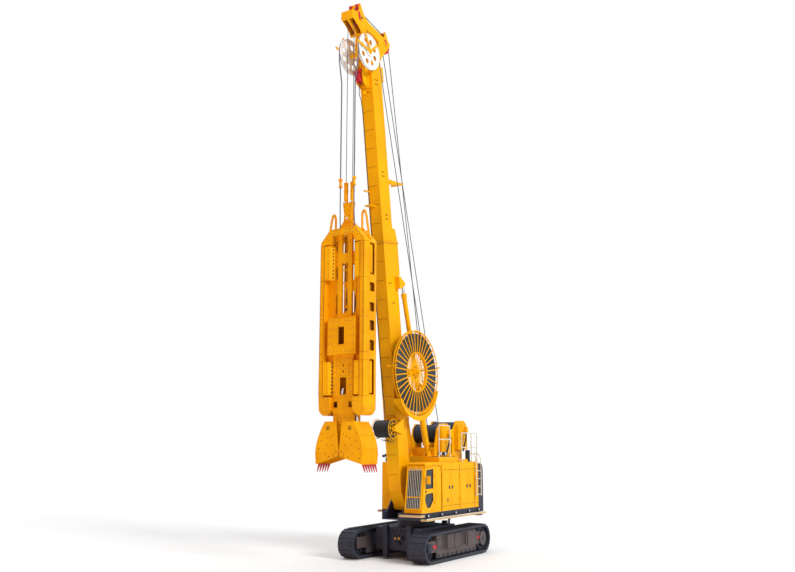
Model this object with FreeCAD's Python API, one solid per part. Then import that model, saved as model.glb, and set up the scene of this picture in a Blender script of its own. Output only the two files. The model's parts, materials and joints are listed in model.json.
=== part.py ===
"""Diaphragm wall grab: a crawler base machine with an inclined mast and a hanging hydraulic grab.

Millimetres.  X forward, Y to the operator's left, Z up.  The origin is on the ground under the slew axis.
Each function builds one sub-part and the table at the end writes each to parts/NAME.step.
"""
import FreeCAD, Part
import math
import os

# ---- clearances and fits ----
RUN_FIT = 0.05            # radial clearance of a pin in its own bore
BEARING_GAP = 0.5         # axial gap between the two rings of the slew bearing
SEAT_GAP = 0.3            # gap of curved faces that lie against each other on one body
SIDE_GAP = 10.0           # side clearance of a hinged piece between its ears
PANEL_GAP = 6.0           # gap around a door leaf

# ---- crawler undercarriage ----
TRACK_GAUGE = 3330.0      # centre to centre of the two tracks
SHOE_WIDTH = 770.0
IDLER_X = 2260.0
SPROCKET_X = -2310.0
IDLER_R = 470.0           # inside of the track at the idler
SPROCKET_R = 490.0
SHOE_T = 95.0             # link and plate together
GROUSER_H = 35.0
GROUSER_T = 20.0
SHOE_COUNT = 56
SHOE_NOTCH = 12.0         # gap between two plates
SHOE_NOTCH_H = 25.0
WHEEL_W = 330.0
FRAME_X0 = -1720.0
FRAME_X1 = 1700.0
FRAME_Y0 = TRACK_GAUGE / 2 - 285
FRAME_Y1 = TRACK_GAUGE / 2 + 265
FRAME_Z0 = 420.0
FRAME_Z1 = 1050.0
FRAME_WALL = 25.0
SKIRT_T = 60.0
ROLLER_R = 100.0
ROLLER_COUNT = 9
ROLLER_PITCH = 380.0
CARBODY_X = 1400.0
CARBODY_Y = 1100.0
CARBODY_Z0 = 350.0
CARBODY_Z1 = 1250.0
CARBODY_WALL = 30.0
CROSS_X0 = 750.0
CROSS_X1 = 1350.0
CROSS_Z0 = 500.0
CROSS_Z1 = 1000.0
SLEW_R = 800.0
SLEW_BORE_R = 450.0
SLEW_TOP = 1420.0
JACK_Y = 560.0
JACK_W = 200.0
JACK_T = 180.0
JACK_TOP = 1350.0
JACK_FOOT = 330.0
JACK_FOOT_Z = 80.0
JACK_FOOT_T = 40.0
TOW_BORE_R = 40.0
TOW_LUG_T = 60.0
TOW_LUG_L = 190.0
TOW_Z = 620.0

# ---- upper structure ----
DECK_X0 = -3003.0
DECK_X1 = 2050.0
DECK_Y = 1464.0
DECK_Z0 = 1600.0
DECK_Z1 = 1880.0
DECK_WALL = 25.0
SLOT_X0 = 600.0           # well of the mast foot
CHEEK_T = 60.0
WALK_Y = 1750.0
WALK_X0 = -3140.0
WALK_X1 = 2130.0
WALK_T = 70.0
FRONT_WALK_X1 = 2350.0
FRONT_WALK_Y0 = 595.0
FRONT_WALK_Z0 = 1750.0
FRONT_WALK_T = 80.0
HOUSE_X1 = 385.0
HOUSE_Z1 = 3790.0
HOUSE_WALL = 40.0
ROOF_T = 40.0
RAISED_X0 = -1270.0
RAISED_Y = DECK_Y - 114
RAISED_Y0 = -1000.0
RAISED_H = 250.0
ROOF_TOP = HOUSE_Z1 + ROOF_T + RAISED_H
TAN_X0 = -2220.0
TAN_X1 = -1360.0
TAN_H = 130.0
EXHAUST_X = -2800.0
EXHAUST_Y = 1050.0
EXHAUST_R = 75.0
EXHAUST_H = 520.0
COUNTER_X0 = -3468.0
COUNTER_Z0 = 1500.0
COUNTER_Z1 = HOUSE_Z1 + 10
COUNTER_ROUND = 260.0
ENGINE_X0 = -2500.0
ENGINE_X1 = -1300.0
ENGINE_Y = 380.0
ENGINE_Z1 = 2800.0
DOOR_Z0 = 2140.0
DOOR_Z1 = HOUSE_Z1 - 290
DOOR_SEAMS = ((340.0, -420.0), (-420.0, -1170.0), (-1260.0, -2040.0), (-2040.0, -2560.0))

# ---- cab ----
CAB_X0 = 400.0
CAB_Y0 = 630.0
CAB_Y1 = 1464.0
CAB_Z0 = DECK_Z1
CAB_ROOF_Z = HOUSE_Z1 - 20
CAB_WALL = 50.0
CAB_ROOF_T = 100.0
GLASS_T = 8.0
CAB_NOSE = ((2022.0, 0.0), (2022.0, 100.0), (1775.0, 1740.0))
CAB_BROW_X = 1700.0
DOOR_X0 = 1030.0
DOOR_HINGE_OUT = 28.0     # hinge axis outside the cab wall
DOOR_PIN_R = 12.0

# ---- winches ----
DRUM_FRONT = (-1120.0, ROOF_TOP + 980)
DRUM_REAR = (-2700.0, ROOF_TOP + 1140)
DRUM_Y0 = -550.0
DRUM_Y1 = 600.0
DRUM_R = 270.0
DRUM_FLANGE_R = 420.0
DRUM_FLANGE_T = 30.0
DRUM_SHAFT_R = 60.0
TIE_TOP = ROOF_TOP + 390  # top of the tie in front of the drums
WINCH_PLATE_T = 40.0
WINCH_GAP = 15.0
COVER_R = 440.0
COVER_W = 210.0

# ---- mast ----
PIVOT_X = 1100.0
PIVOT_Z = 2100.0
MAST_LEAN = 7.85          # degrees forward
MAST_HALF_W = 290.0
SLOT_Y = MAST_HALF_W + 55  # half the well of the mast foot
MAST_FRONT = 500.0
MAST_JOINT_Z = 10960.0
MAST_TOP_Z = 18900.0
MAST_WALL = 14.0
MAST_FLANGE_T = 40.0
MAST_FLANGE_OUT = 45.0
MAST_PIN_R = 75.0
MAST_BOSS_R = 170.0
CYL_Y = 420.0
CYL_FOOT = (-260.0, ROOF_TOP + 140)
CYL_TOP = (-560.0, 9200.0)  # on the mast
CYL_R = 100.0
CYL_ROD_R = 62.0
ROD_SHOWN = 414.0         # from the barrel's end to the middle of the rod's eye
CYL_EYE_R = 110.0
CYL_EYE_W = 120.0
CYL_PIN_R = 45.0
ROD_EYE_PLAY = 25.0       # the rod's eye is the opened pivot of the linkage
EAR_T = 30.0
REEL_C = (-468.0, 5444.0)
REEL_Y0 = 780.0
REEL_Y1 = 900.0
REEL_R = 1750.0
REEL_RING_R = 817.0
REEL_SPOKES = 36
REEL_SPOKE_W = 50.0
REEL_BOSS_R = 300.0
GUARD_GAP = 60.0          # reel rim to the guard trough
GUARD_A0 = -150.0
GUARD_A1 = -32.0
REEL_DISC_T = 12.0
REEL_AXLE_R = 90.0
CABLE_C = (1211.0, 3296.0)
CABLE_Y0 = -220.0
CABLE_Y1 = 600.0
CABLE_R = 400.0
CABLE_BARREL_R = 220.0
CABLE_SHAFT_R = 40.0

# ---- mast head and rope falls ----
HEAD_HALF_W = 280.0
HEAD_PLATE = 20.0
HEAD_INNER_Y = 60.0
HEAD_BAND = 16.0
ROPE_Y = 155.0
ROPE_R = 14.0
ROPE_X = 5180.0
FRONT_AXLE = (4820.0, 22190.0)
REAR_AXLE = (2950.0, 21800.0)
SHEAVE_R = 410.0
REAR_SHEAVE_R = 420.0
SHEAVE_W = 110.0
SHEAVE_BORE_R = 50.0
GROOVE_W = 40.0
GROOVE_GAP = 0.9
DISC_C = (884.0, 18918.0)
DISC_Y = 480.0
DISC_W = 80.0
DISC_R = 765.0
DISC_HOLES = 8
DISC_HOLE_R = 120.0
DISC_HOLE_PCR = 470.0
DISC_BORE_R = 50.0

# ---- grab ----
GRAB_X0 = 4740.0
GRAB_X1 = 5620.0
GRAB_Y = 1120.0
COLUMN_IN_Y = 480.0
STRIP_Y = 850.0
GRAB_TOP = 12950.0
SHOULDER_Z = 12350.0
SHOULDER_Y = 600.0
COLUMN_Z0 = 6350.0
BEAM_Z0 = 5750.0
GRAB_WALL = 22.0
CHAMFER_X = 200.0
CHAMFER_Y = 90.0
SOCKET_TOP = 14930.0
SOCKET_BOTTOM = 14030.0
SOCKET_R = 85.0
ROPE_IN_SOCKET = 60.0
YOKE_T = 200.0
YOKE_WAIST = 120.0
LOOP_TOP = 13680.0
LOOP_R = 45.0
PLATE_Z0 = 7960.0
PLATE_Z1 = 9400.0
RAIL_Y0 = 145.0
RAIL_Y1 = 335.0
RAIL_T = 110.0
REAR_RAIL_IN = 45.0       # the rear rails are this much narrower at each edge
TOP_TIE_Z = 12690.0
CLOSER_R = 110.0
CLOSER_L = 330.0          # the cylinder's head above the centre box
NECK_Y = 450.0
NECK_X0 = 4915.0
NECK_X1 = 5445.0
NECK_Z0 = 5300.0
NECK_WALL = 25.0
JAW_PIVOT_Y = 200.0
JAW_PIVOT_Z = 4280.0
JAW_X0 = 4660.0
JAW_X1 = 5700.0
JAW_SIDE_T = 30.0
JAW_SHELL_T = 25.0
JAW_PIN_R = 50.0
JAW_CLOSE = 75.0          # slope of the cutting edges when the jaws hang open
JAW_GAP = 5.0             # half the gap of the shut jaws
PUSH_Y = 500.0
PUSH_Z = 5200.0
PUSH_L = 1500.0
PUSH_TOP_Y = 250.0
PUSH_W = 120.0
PUSH_PIN_R = 40.0
TOOTH_L = 290.0
TOOTH_W = 72.0
TOOTH_TIP_W = 25.0
TOOTH_LEAN = 75.0
TOOTH_PITCH = 160.0


def vec(x, y, z):
    return FreeCAD.Vector(x, y, z)


def box(x0, x1, y0, y1, z0, z1):
    return Part.makeBox(x1 - x0, y1 - y0, z1 - z0, vec(x0, y0, z0))


def rod(a, b, r):
    """Round bar from point a to point b."""
    start = vec(*a)
    along = vec(*b) - start
    return Part.makeCylinder(r, along.Length, start, along)


def bar_y(centre, r, y0, y1):
    """Round bar along Y; centre is (x, z)."""
    return rod((centre[0], y0, centre[1]), (centre[0], y1, centre[1]), r)


def face_of(points):
    return Part.Face(Part.makePolygon(points + [points[0]]))


def prism_y(outline, y0, y1):
    """Outline of (x, z) points drawn out along Y."""
    return face_of([vec(x, y0, z) for x, z in outline]).extrude(vec(0, y1 - y0, 0))


def prism_x(outline, x0, x1):
    """Outline of (y, z) points drawn out along X."""
    return face_of([vec(x0, y, z) for y, z in outline]).extrude(vec(x1 - x0, 0, 0))


def prism_z(outline, z0, z1):
    """Outline of (x, y) points drawn out along Z."""
    return face_of([vec(x, y, z0) for x, y in outline]).extrude(vec(0, 0, z1 - z0))


def join(*shapes):
    whole = shapes[0].multiFuse(list(shapes[1:])) if len(shapes) > 1 else shapes[0]
    return whole.removeSplitter()


def cut(shape, *tools):
    return shape.cut(list(tools))


def group(*shapes):
    """Like pieces that do not touch, in one node."""
    return Part.makeCompound([solid for shape in shapes for solid in shape.Solids])


def mirror_y(shape):
    return shape.mirror(vec(0, 0, 0), vec(0, 1, 0))


def pair_y(shape):
    return group(shape, mirror_y(shape))


def signed_area(points):
    total = 0.0
    for (x0, z0), (x1, z1) in zip(points, points[1:] + points[:1]):
        total += x0 * z1 - x1 * z0
    return total / 2.0


def inset(points, distance):
    """The outline moved inwards by distance on every edge."""
    points = [tuple(p) for p in points]
    if signed_area(points) < 0:
        points.reverse()
    lines = []
    for (x0, z0), (x1, z1) in zip(points, points[1:] + points[:1]):
        length = math.hypot(x1 - x0, z1 - z0)
        nx = -(z1 - z0) / length
        nz = (x1 - x0) / length
        lines.append((nx, nz, nx * x0 + nz * z0 + distance))
    result = []
    for (a, b, c), (d, e, f) in zip(lines[-1:] + lines[:-1], lines):
        det = a * e - b * d
        result.append(((c * e - b * f) / det, (a * f - c * d) / det))
    return result


def on_mast(shape):
    """Place a shape that is modelled upright about the foot pin at the mast's lean."""
    placed = shape.copy()
    placed.rotate(vec(0, 0, 0), vec(0, 1, 0), MAST_LEAN)
    placed.translate(vec(PIVOT_X, 0, PIVOT_Z))
    return placed


def to_mast(x, z):
    """World (x, z) to the mast's own upright coordinates."""
    lean = math.radians(MAST_LEAN)
    dx = x - PIVOT_X
    dz = z - PIVOT_Z
    return (dx * math.cos(lean) - dz * math.sin(lean), dx * math.sin(lean) + dz * math.cos(lean))


def from_mast(x, z):
    lean = math.radians(MAST_LEAN)
    return (
        PIVOT_X + x * math.cos(lean) + z * math.sin(lean),
        PIVOT_Z - x * math.sin(lean) + z * math.cos(lean),
    )


# ---- undercarriage ----
GROUND_TO_INSIDE = SHOE_T + GROUSER_H
IDLER_Z = GROUND_TO_INSIDE + IDLER_R
SPROCKET_Z = GROUND_TO_INSIDE + SPROCKET_R
TRACK_Y = TRACK_GAUGE / 2.0


def top_tangent():
    """Angle of the normal of the track's upper run."""
    dx = SPROCKET_X - IDLER_X
    dz = SPROCKET_Z - IDLER_Z
    return math.atan2(dz, dx) - math.acos((IDLER_R - SPROCKET_R) / math.hypot(dx, dz))


def track_point(s):
    """Point and outward normal on the track's inside, s along it from under the sprocket."""
    top = top_tangent()
    bottom_run = IDLER_X - SPROCKET_X
    idler_arc = IDLER_R * (top + math.pi / 2)
    a = (IDLER_X + IDLER_R * math.cos(top), IDLER_Z + IDLER_R * math.sin(top))
    b = (SPROCKET_X + SPROCKET_R * math.cos(top), SPROCKET_Z + SPROCKET_R * math.sin(top))
    top_run = math.hypot(b[0] - a[0], b[1] - a[1])
    if s <= bottom_run:
        return (SPROCKET_X + s, GROUND_TO_INSIDE), (0.0, -1.0)
    s -= bottom_run
    if s <= idler_arc:
        angle = -math.pi / 2 + s / IDLER_R
        n = (math.cos(angle), math.sin(angle))
        return (IDLER_X + IDLER_R * n[0], IDLER_Z + IDLER_R * n[1]), n
    s -= idler_arc
    if s <= top_run:
        k = s / top_run
        return (a[0] + k * (b[0] - a[0]), a[1] + k * (b[1] - a[1])), (math.cos(top), math.sin(top))
    s -= top_run
    angle = top + s / SPROCKET_R
    n = (math.cos(angle), math.sin(angle))
    return (SPROCKET_X + SPROCKET_R * n[0], SPROCKET_Z + SPROCKET_R * n[1]), n


def track_length():
    top = top_tangent()
    straight = math.sqrt(
        (IDLER_X - SPROCKET_X) ** 2 + (IDLER_Z - SPROCKET_Z) ** 2 - (IDLER_R - SPROCKET_R) ** 2
    )
    idler_arc = IDLER_R * (top + math.pi / 2)
    sprocket_arc = SPROCKET_R * (3 * math.pi / 2 - top)
    return (IDLER_X - SPROCKET_X) + idler_arc + straight + sprocket_arc


def track_inside():
    top = top_tangent()
    points = [(SPROCKET_X, GROUND_TO_INSIDE), (IDLER_X, GROUND_TO_INSIDE)]
    steps = 24
    for i in range(1, steps + 1):
        angle = -math.pi / 2 + (top + math.pi / 2) * i / steps
        points.append((IDLER_X + IDLER_R * math.cos(angle), IDLER_Z + IDLER_R * math.sin(angle)))
    for i in range(steps):
        angle = top + (3 * math.pi / 2 - top) * i / steps
        points.append((SPROCKET_X + SPROCKET_R * math.cos(angle), SPROCKET_Z + SPROCKET_R * math.sin(angle)))
    return points


def track_outside():
    """Plates, the notches between them and one grouser on each."""
    pitch = track_length() / SHOE_COUNT
    points = []
    for i in range(SHOE_COUNT):
        (x0, z0), n0 = track_point(i * pitch + SHOE_NOTCH / 2)
        (x1, z1), n1 = track_point((i + 1) * pitch - SHOE_NOTCH / 2)
        a = (x0 + n0[0] * SHOE_T, z0 + n0[1] * SHOE_T)
        b = (x1 + n1[0] * SHOE_T, z1 + n1[1] * SHOE_T)
        length = math.hypot(b[0] - a[0], b[1] - a[1])
        u = ((b[0] - a[0]) / length, (b[1] - a[1]) / length)
        n = (u[1], -u[0])
        low = SHOE_T - SHOE_NOTCH_H
        points.append((x0 + n0[0] * low, z0 + n0[1] * low))
        points.append(a)
        for along, out in ((-1, 0), (-1, 1), (1, 1), (1, 0)):
            t = length / 2 + along * GROUSER_T / 2
            lift = out * GROUSER_H
            points.append((a[0] + u[0] * t + n[0] * lift, a[1] + u[1] * t + n[1] * lift))
        points.append(b)
        points.append((x1 + n1[0] * low, z1 + n1[1] * low))
    return points


def track_left():
    y0 = TRACK_Y - SHOE_WIDTH / 2
    y1 = TRACK_Y + SHOE_WIDTH / 2
    return cut(prism_y(track_outside(), y0, y1), prism_y(track_inside(), y0 - 1, y1 + 1))


def track_right():
    return mirror_y(track_left())


def track_wheels():
    """Idlers, drive wheels and lower rollers of both tracks."""
    y0 = TRACK_Y - WHEEL_W / 2
    y1 = TRACK_Y + WHEEL_W / 2
    in_y = FRAME_Y0 + SKIRT_T
    out_y = FRAME_Y1 - SKIRT_T
    wheels = []
    for x, z, r in ((IDLER_X, IDLER_Z, IDLER_R), (SPROCKET_X, SPROCKET_Z, SPROCKET_R)):
        rim = r * math.cos(math.pi / 48) - SEAT_GAP
        wheel = bar_y((x, z), rim, y0, y1)
        groove = cut(bar_y((x, z), rim - 60, y0 - 1, y0 + 70), bar_y((x, z), rim * 0.45, y0 - 2, y0 + 71))
        other = cut(bar_y((x, z), rim - 60, y1 - 70, y1 + 1), bar_y((x, z), rim * 0.45, y1 - 71, y1 + 2))
        hub = bar_y((x, z), 90.0, in_y, out_y)
        wheels.append(join(cut(wheel, groove, other), hub))
    first = -ROLLER_PITCH * (ROLLER_COUNT - 1) / 2
    for i in range(ROLLER_COUNT):
        x = first + i * ROLLER_PITCH
        wheels.append(bar_y((x, GROUND_TO_INSIDE + SEAT_GAP + ROLLER_R), ROLLER_R, in_y, out_y))
    return pair_y(group(*wheels))


def track_frames():
    """Box beams with roller skirts and the forks that hold idler and drive wheel."""
    beam = box(FRAME_X0, FRAME_X1, FRAME_Y0, FRAME_Y1, FRAME_Z0, FRAME_Z1)
    inside = box(
        FRAME_X0 + FRAME_WALL, FRAME_X1 - FRAME_WALL, FRAME_Y0 + FRAME_WALL, FRAME_Y1 - FRAME_WALL,
        FRAME_Z0 + FRAME_WALL, FRAME_Z1 - FRAME_WALL,
    )
    pieces = [cut(beam, inside)]
    for y in (FRAME_Y0, FRAME_Y1 - SKIRT_T):
        pieces.append(box(FRAME_X0, FRAME_X1, y, y + SKIRT_T, GROUND_TO_INSIDE + 60, FRAME_Z0))
        pieces.append(box(FRAME_X1, IDLER_X + 150, y, y + SKIRT_T, FRAME_Z0, IDLER_Z + 260))
        pieces.append(box(SPROCKET_X - 120, FRAME_X0, y, y + SKIRT_T, FRAME_Z0, SPROCKET_Z + 300))
    pieces.append(bar_y((SPROCKET_X, SPROCKET_Z), 290.0, FRAME_Y1, FRAME_Y1 + 60))
    pieces.append(box(-430, 870, FRAME_Y1, FRAME_Y1 + 25, FRAME_Z0 + 40, FRAME_Z1 - 20))
    return pair_y(join(*pieces))


def carbody():
    """Box between the tracks with its cross beams, slew pedestal, jacks and tow lug."""
    body = box(-CARBODY_X, CARBODY_X, -CARBODY_Y, CARBODY_Y, CARBODY_Z0, CARBODY_Z1)
    w = CARBODY_WALL
    half_y = CARBODY_Y - w
    body = cut(body, box(-CARBODY_X + w, CARBODY_X - w, -half_y, half_y, CARBODY_Z0 + w, CARBODY_Z1 - w))
    pieces = [body]
    for x0, x1 in ((CROSS_X0, CROSS_X1), (-CROSS_X1, -CROSS_X0)):
        for y0, y1 in ((CARBODY_Y, FRAME_Y0), (-FRAME_Y0, -CARBODY_Y)):
            beam = box(x0, x1, y0, y1, CROSS_Z0, CROSS_Z1)
            pieces.append(cut(beam, box(x0 + w, x1 - w, y0 - 1, y1 + 1, CROSS_Z0 + w, CROSS_Z1 - w)))
    for sign in (1, -1):
        for y in (-JACK_Y, JACK_Y):
            x0, x1 = sorted((sign * CARBODY_X, sign * (CARBODY_X + JACK_T)))
            pieces.append(box(x0, x1, y - JACK_W / 2, y + JACK_W / 2, JACK_FOOT_Z, JACK_TOP))
            middle = sign * (CARBODY_X + JACK_T / 2)
            half = JACK_FOOT / 2
            foot_top = JACK_FOOT_Z + JACK_FOOT_T
            foot = box(middle - half, middle + half, y - half, y + half, JACK_FOOT_Z, foot_top)
            pieces.append(foot)
    lug = box(CARBODY_X, CARBODY_X + TOW_LUG_L, -110, 110, TOW_Z - TOW_LUG_T / 2, TOW_Z + TOW_LUG_T / 2)
    eye_x = CARBODY_X + TOW_LUG_L - 80
    bore = Part.makeCylinder(TOW_BORE_R, 2 * TOW_LUG_T, vec(eye_x, 0, TOW_Z - TOW_LUG_T))
    pieces.append(cut(lug, bore))
    ring = Part.makeCylinder(SLEW_R, SLEW_TOP - CARBODY_Z1, vec(0, 0, CARBODY_Z1))
    pieces.append(cut(ring, Part.makeCylinder(SLEW_BORE_R, SLEW_TOP, vec(0, 0, CARBODY_Z1))))
    return join(*pieces)


# ---- upper structure ----
def slew_deck():
    """Main frame: hollow deck, slew ring above the gap, foot well and mast cheeks."""
    w = DECK_WALL
    deck = box(DECK_X0, DECK_X1, -DECK_Y, DECK_Y, DECK_Z0, DECK_Z1)
    side = SLOT_Y + CHEEK_T
    rear = box(DECK_X0 + w, SLOT_X0 - CHEEK_T, -side + w, DECK_Y - w, DECK_Z0 + w, DECK_Z1 - w)
    rear = join(rear, box(DECK_X0 + w, HOUSE_X1 - w, -DECK_Y + w, -side + w + 1, DECK_Z0 + w, DECK_Z1 - w))
    left = box(SLOT_X0, DECK_X1 - w, side, DECK_Y - w, DECK_Z0 + w, DECK_Z1 - w)
    well = box(SLOT_X0, DECK_X1 + 1, -SLOT_Y, SLOT_Y, DECK_Z0 + w, DECK_Z1 + 1)
    notch = box(HOUSE_X1, DECK_X1 + 1, -DECK_Y - 1, -side, DECK_Z0 - 1, DECK_Z1 + 1)
    deck = join(cut(deck, rear, left, well, notch), box(SLOT_X0, DECK_X1, -side, -SLOT_Y, DECK_Z0, DECK_Z1))
    ring = Part.makeCylinder(SLEW_R, DECK_Z0 - SLEW_TOP - BEARING_GAP, vec(0, 0, SLEW_TOP + BEARING_GAP))
    ring = cut(ring, Part.makeCylinder(SLEW_BORE_R, DECK_Z0 - SLEW_TOP, vec(0, 0, SLEW_TOP)))
    cheek_side = [
        (SLOT_X0 + 20, DECK_Z1),
        (PIVOT_X - 300, PIVOT_Z + 220),
        (PIVOT_X - 120, PIVOT_Z + 320),
        (PIVOT_X + 120, PIVOT_Z + 320),
        (PIVOT_X + 350, PIVOT_Z + 150),
        (PIVOT_X + 650, DECK_Z1),
    ]
    cheek = prism_y(cheek_side, SLOT_Y, side)
    frame = join(deck, ring, cheek, mirror_y(cheek))
    return cut(frame, bar_y((PIVOT_X, PIVOT_Z), MAST_PIN_R, -side - 1, side + 1))


def walkways():
    left = box(WALK_X0, WALK_X1, DECK_Y, WALK_Y, DECK_Z0, DECK_Z0 + WALK_T)
    z0 = FRONT_WALK_Z0
    front = box(DECK_X1, FRONT_WALK_X1, FRONT_WALK_Y0, DECK_Y + 143, z0, z0 + FRONT_WALK_T)
    right = box(WALK_X0 + 400, HOUSE_X1, -DECK_Y - 240, -DECK_Y, z0, z0 + FRONT_WALK_T)
    return group(left, front, right)


def cab_side(top):
    """Side outline of the cab up to the height top."""
    nose = [(x, CAB_Z0 + z) for x, z in CAB_NOSE]
    return [(CAB_X0, CAB_Z0)] + nose + [(CAB_BROW_X, CAB_ROOF_Z), (CAB_BROW_X, top), (CAB_X0, top)]


def door_outline():
    """Door opening in the cab's left side."""
    slope = (CAB_NOSE[2][0] - CAB_NOSE[1][0]) / (CAB_NOSE[2][1] - CAB_NOSE[1][1])
    low = 90.0
    high = 1790.0
    x_low = CAB_NOSE[1][0] + slope * (low - CAB_NOSE[1][1]) - 110
    x_high = CAB_NOSE[1][0] + slope * (high - CAB_NOSE[1][1]) - 90
    return [
        (DOOR_X0, CAB_Z0 + low),
        (x_low - 120, CAB_Z0 + low),
        (x_low, CAB_Z0 + low + 260),
        (x_high, CAB_Z0 + high),
        (DOOR_X0, CAB_Z0 + high),
    ]


def upper_window():
    return [(1120, 2840), (1735, 2826), (1640, 3560), (1110, 3600)]


def lower_window():
    return [(1143, 2650), (1107, 2380), (1370, 2090), (1610, 2085), (1770, 2410), (1700, 2610)]


def cab_shell():
    top = CAB_ROOF_Z
    outer = prism_y(cab_side(top + 1), CAB_Y0, CAB_Y1)
    outer = cut(outer, box(0, 3000, 0, 2000, top, top + 10))
    inner = inset(cab_side(top + 2 * CAB_WALL), CAB_WALL)
    shell = cut(outer, prism_y(inner, CAB_Y0 + CAB_WALL, CAB_Y1 - CAB_WALL))
    front = box(1650, 2200, CAB_Y0 + 100, CAB_Y1 - 100, CAB_Z0 + 200, CAB_Z0 + 1650)
    right = box(900, 1620, CAB_Y0 - 1, CAB_Y0 + CAB_WALL + 1, 2800, 3600)
    door = prism_y(door_outline(), CAB_Y1 - CAB_WALL - 1, CAB_Y1 + 1)
    hinge = []
    for z in (CAB_Z0 + 350, CAB_Z0 + 1400):
        y = CAB_Y1 + DOOR_HINGE_OUT
        hinge.append(box(DOOR_X0 - 90, DOOR_X0 - 10, CAB_Y1, y + 24, z, z + 60))
    shell = join(cut(shell, front, right, door), *hinge)
    pins = [
        Part.makeCylinder(DOOR_PIN_R, 124, vec(DOOR_X0 - 34, CAB_Y1 + DOOR_HINGE_OUT, z))
        for z in (CAB_Z0 + 350, CAB_Z0 + 1400)
    ]
    return join(shell, *pins)


def cab_door():
    leaf = prism_y(inset(door_outline(), PANEL_GAP), CAB_Y1 - CAB_WALL, CAB_Y1)
    thick = (CAB_Y1 - CAB_WALL - 1, CAB_Y1 + 1)
    leaf = cut(leaf, prism_y(upper_window(), *thick), prism_y(lower_window(), *thick))
    y = CAB_Y1 + DOOR_HINGE_OUT
    x = DOOR_X0 - 34
    knuckles = []
    for z in (CAB_Z0 + 350 + 62, CAB_Z0 + 1400 + 62):
        tube = Part.makeCylinder(24, 60, vec(x, y, z))
        arm = box(x, DOOR_X0 + 60, CAB_Y1, CAB_Y1 + 14, z, z + 60)
        bore = Part.makeCylinder(DOOR_PIN_R + RUN_FIT, 62, vec(x, y, z - 1))
        knuckles.append(cut(join(tube, arm), bore))
    return join(leaf, *knuckles)


def cab_roof():
    profile = [
        (CAB_X0, CAB_ROOF_Z),
        (CAB_BROW_X + 60, CAB_ROOF_Z),
        (CAB_BROW_X + 90, CAB_ROOF_Z + 30),
        (CAB_BROW_X, CAB_ROOF_Z + 80),
        (CAB_BROW_X - 250, CAB_ROOF_Z + CAB_ROOF_T),
        (CAB_X0, CAB_ROOF_Z + CAB_ROOF_T),
    ]
    return prism_y(profile, CAB_Y0, CAB_Y1)


def cab_glass():
    """Windscreen and right-hand pane."""
    (x0, z0), (x1, z1) = ((x, CAB_Z0 + z) for x, z in CAB_NOSE[1:])
    length = math.hypot(x1 - x0, z1 - z0)
    nx = -(z1 - z0) / length
    nz = (x1 - x0) / length
    pane = []
    for z, depth in ((200, 20), (1650, 20), (1650, 20 + GLASS_T), (200, 20 + GLASS_T)):
        k = (CAB_Z0 + z - z0 - nz * depth) / (z1 - z0)
        pane.append((x0 + k * (x1 - x0) + nx * depth, CAB_Z0 + z))
    front = prism_y(pane, CAB_Y0 + 100, CAB_Y1 - 100)
    side = box(900, 1620, CAB_Y0 + 20, CAB_Y0 + 20 + GLASS_T, 2800, 3600)
    return group(front, side)


def cab_seat():
    floor = CAB_Z0 + CAB_WALL
    middle = (CAB_Y0 + CAB_Y1) / 2
    base = box(780, 1080, middle - 160, middle + 160, floor, floor + 330)
    cushion = box(720, 1220, middle - 240, middle + 240, floor + 330, floor + 450)
    back = prism_y([(720, floor + 450), (840, floor + 450), (740, floor + 1150), (640, floor + 1150)],
                   middle - 230, middle + 230)
    arms = [
        box(800, 1250, middle + s - 50, middle + s + 50, floor + 450, floor + 620) for s in (-190, 190)
    ]
    return join(base, cushion, back, *arms)


def engine_house():
    """Side and front panels round the engine, open above and below."""
    outer = box(DECK_X0, HOUSE_X1, -DECK_Y, DECK_Y, DECK_Z1, HOUSE_Z1)
    w = HOUSE_WALL
    inner = box(DECK_X0 + w, HOUSE_X1 - w, -DECK_Y + w, DECK_Y - w, DECK_Z1 - 1, HOUSE_Z1 + 1)
    doors = []
    y = DECK_Y
    pins = []
    for i, (front, rear) in enumerate(DOOR_SEAMS):
        doors.append(box(rear, front, y - w - 1, y + 1, DOOR_Z0, DOOR_Z1))
        edge = front if i % 2 == 0 else rear
        x = edge + (20 if i % 2 == 0 else -20)
        for z in (DOOR_Z0 + 150, DOOR_Z1 - 260):
            pins.append(box(x - 18, x + 18, y, y + 34, z, z + 50))
            pins.append(Part.makeCylinder(9, 100, vec(x, y + 18, z)))
    return join(cut(outer, inner, *doors), *pins)


def service_door(i):
    front, rear = DOOR_SEAMS[i]
    y = DECK_Y
    g = PANEL_GAP / 2
    leaf = box(rear + g, front - g, y - HOUSE_WALL, y, DOOR_Z0 + g, DOOR_Z1 - g)
    edge = front if i % 2 == 0 else rear
    x = edge + (20 if i % 2 == 0 else -20)
    inward = -1 if i % 2 == 0 else 1
    knuckles = []
    for z in (DOOR_Z0 + 150 + 52, DOOR_Z1 - 260 + 52):
        x0, x1 = sorted((x, edge + inward * 60))
        tube = join(Part.makeCylinder(17, 46, vec(x, y + 18, z)), box(x0, x1, y, y + 12, z, z + 46))
        knuckles.append(cut(tube, Part.makeCylinder(9 + RUN_FIT, 48, vec(x, y + 18, z - 1))))
    return join(leaf, *knuckles)


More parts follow.
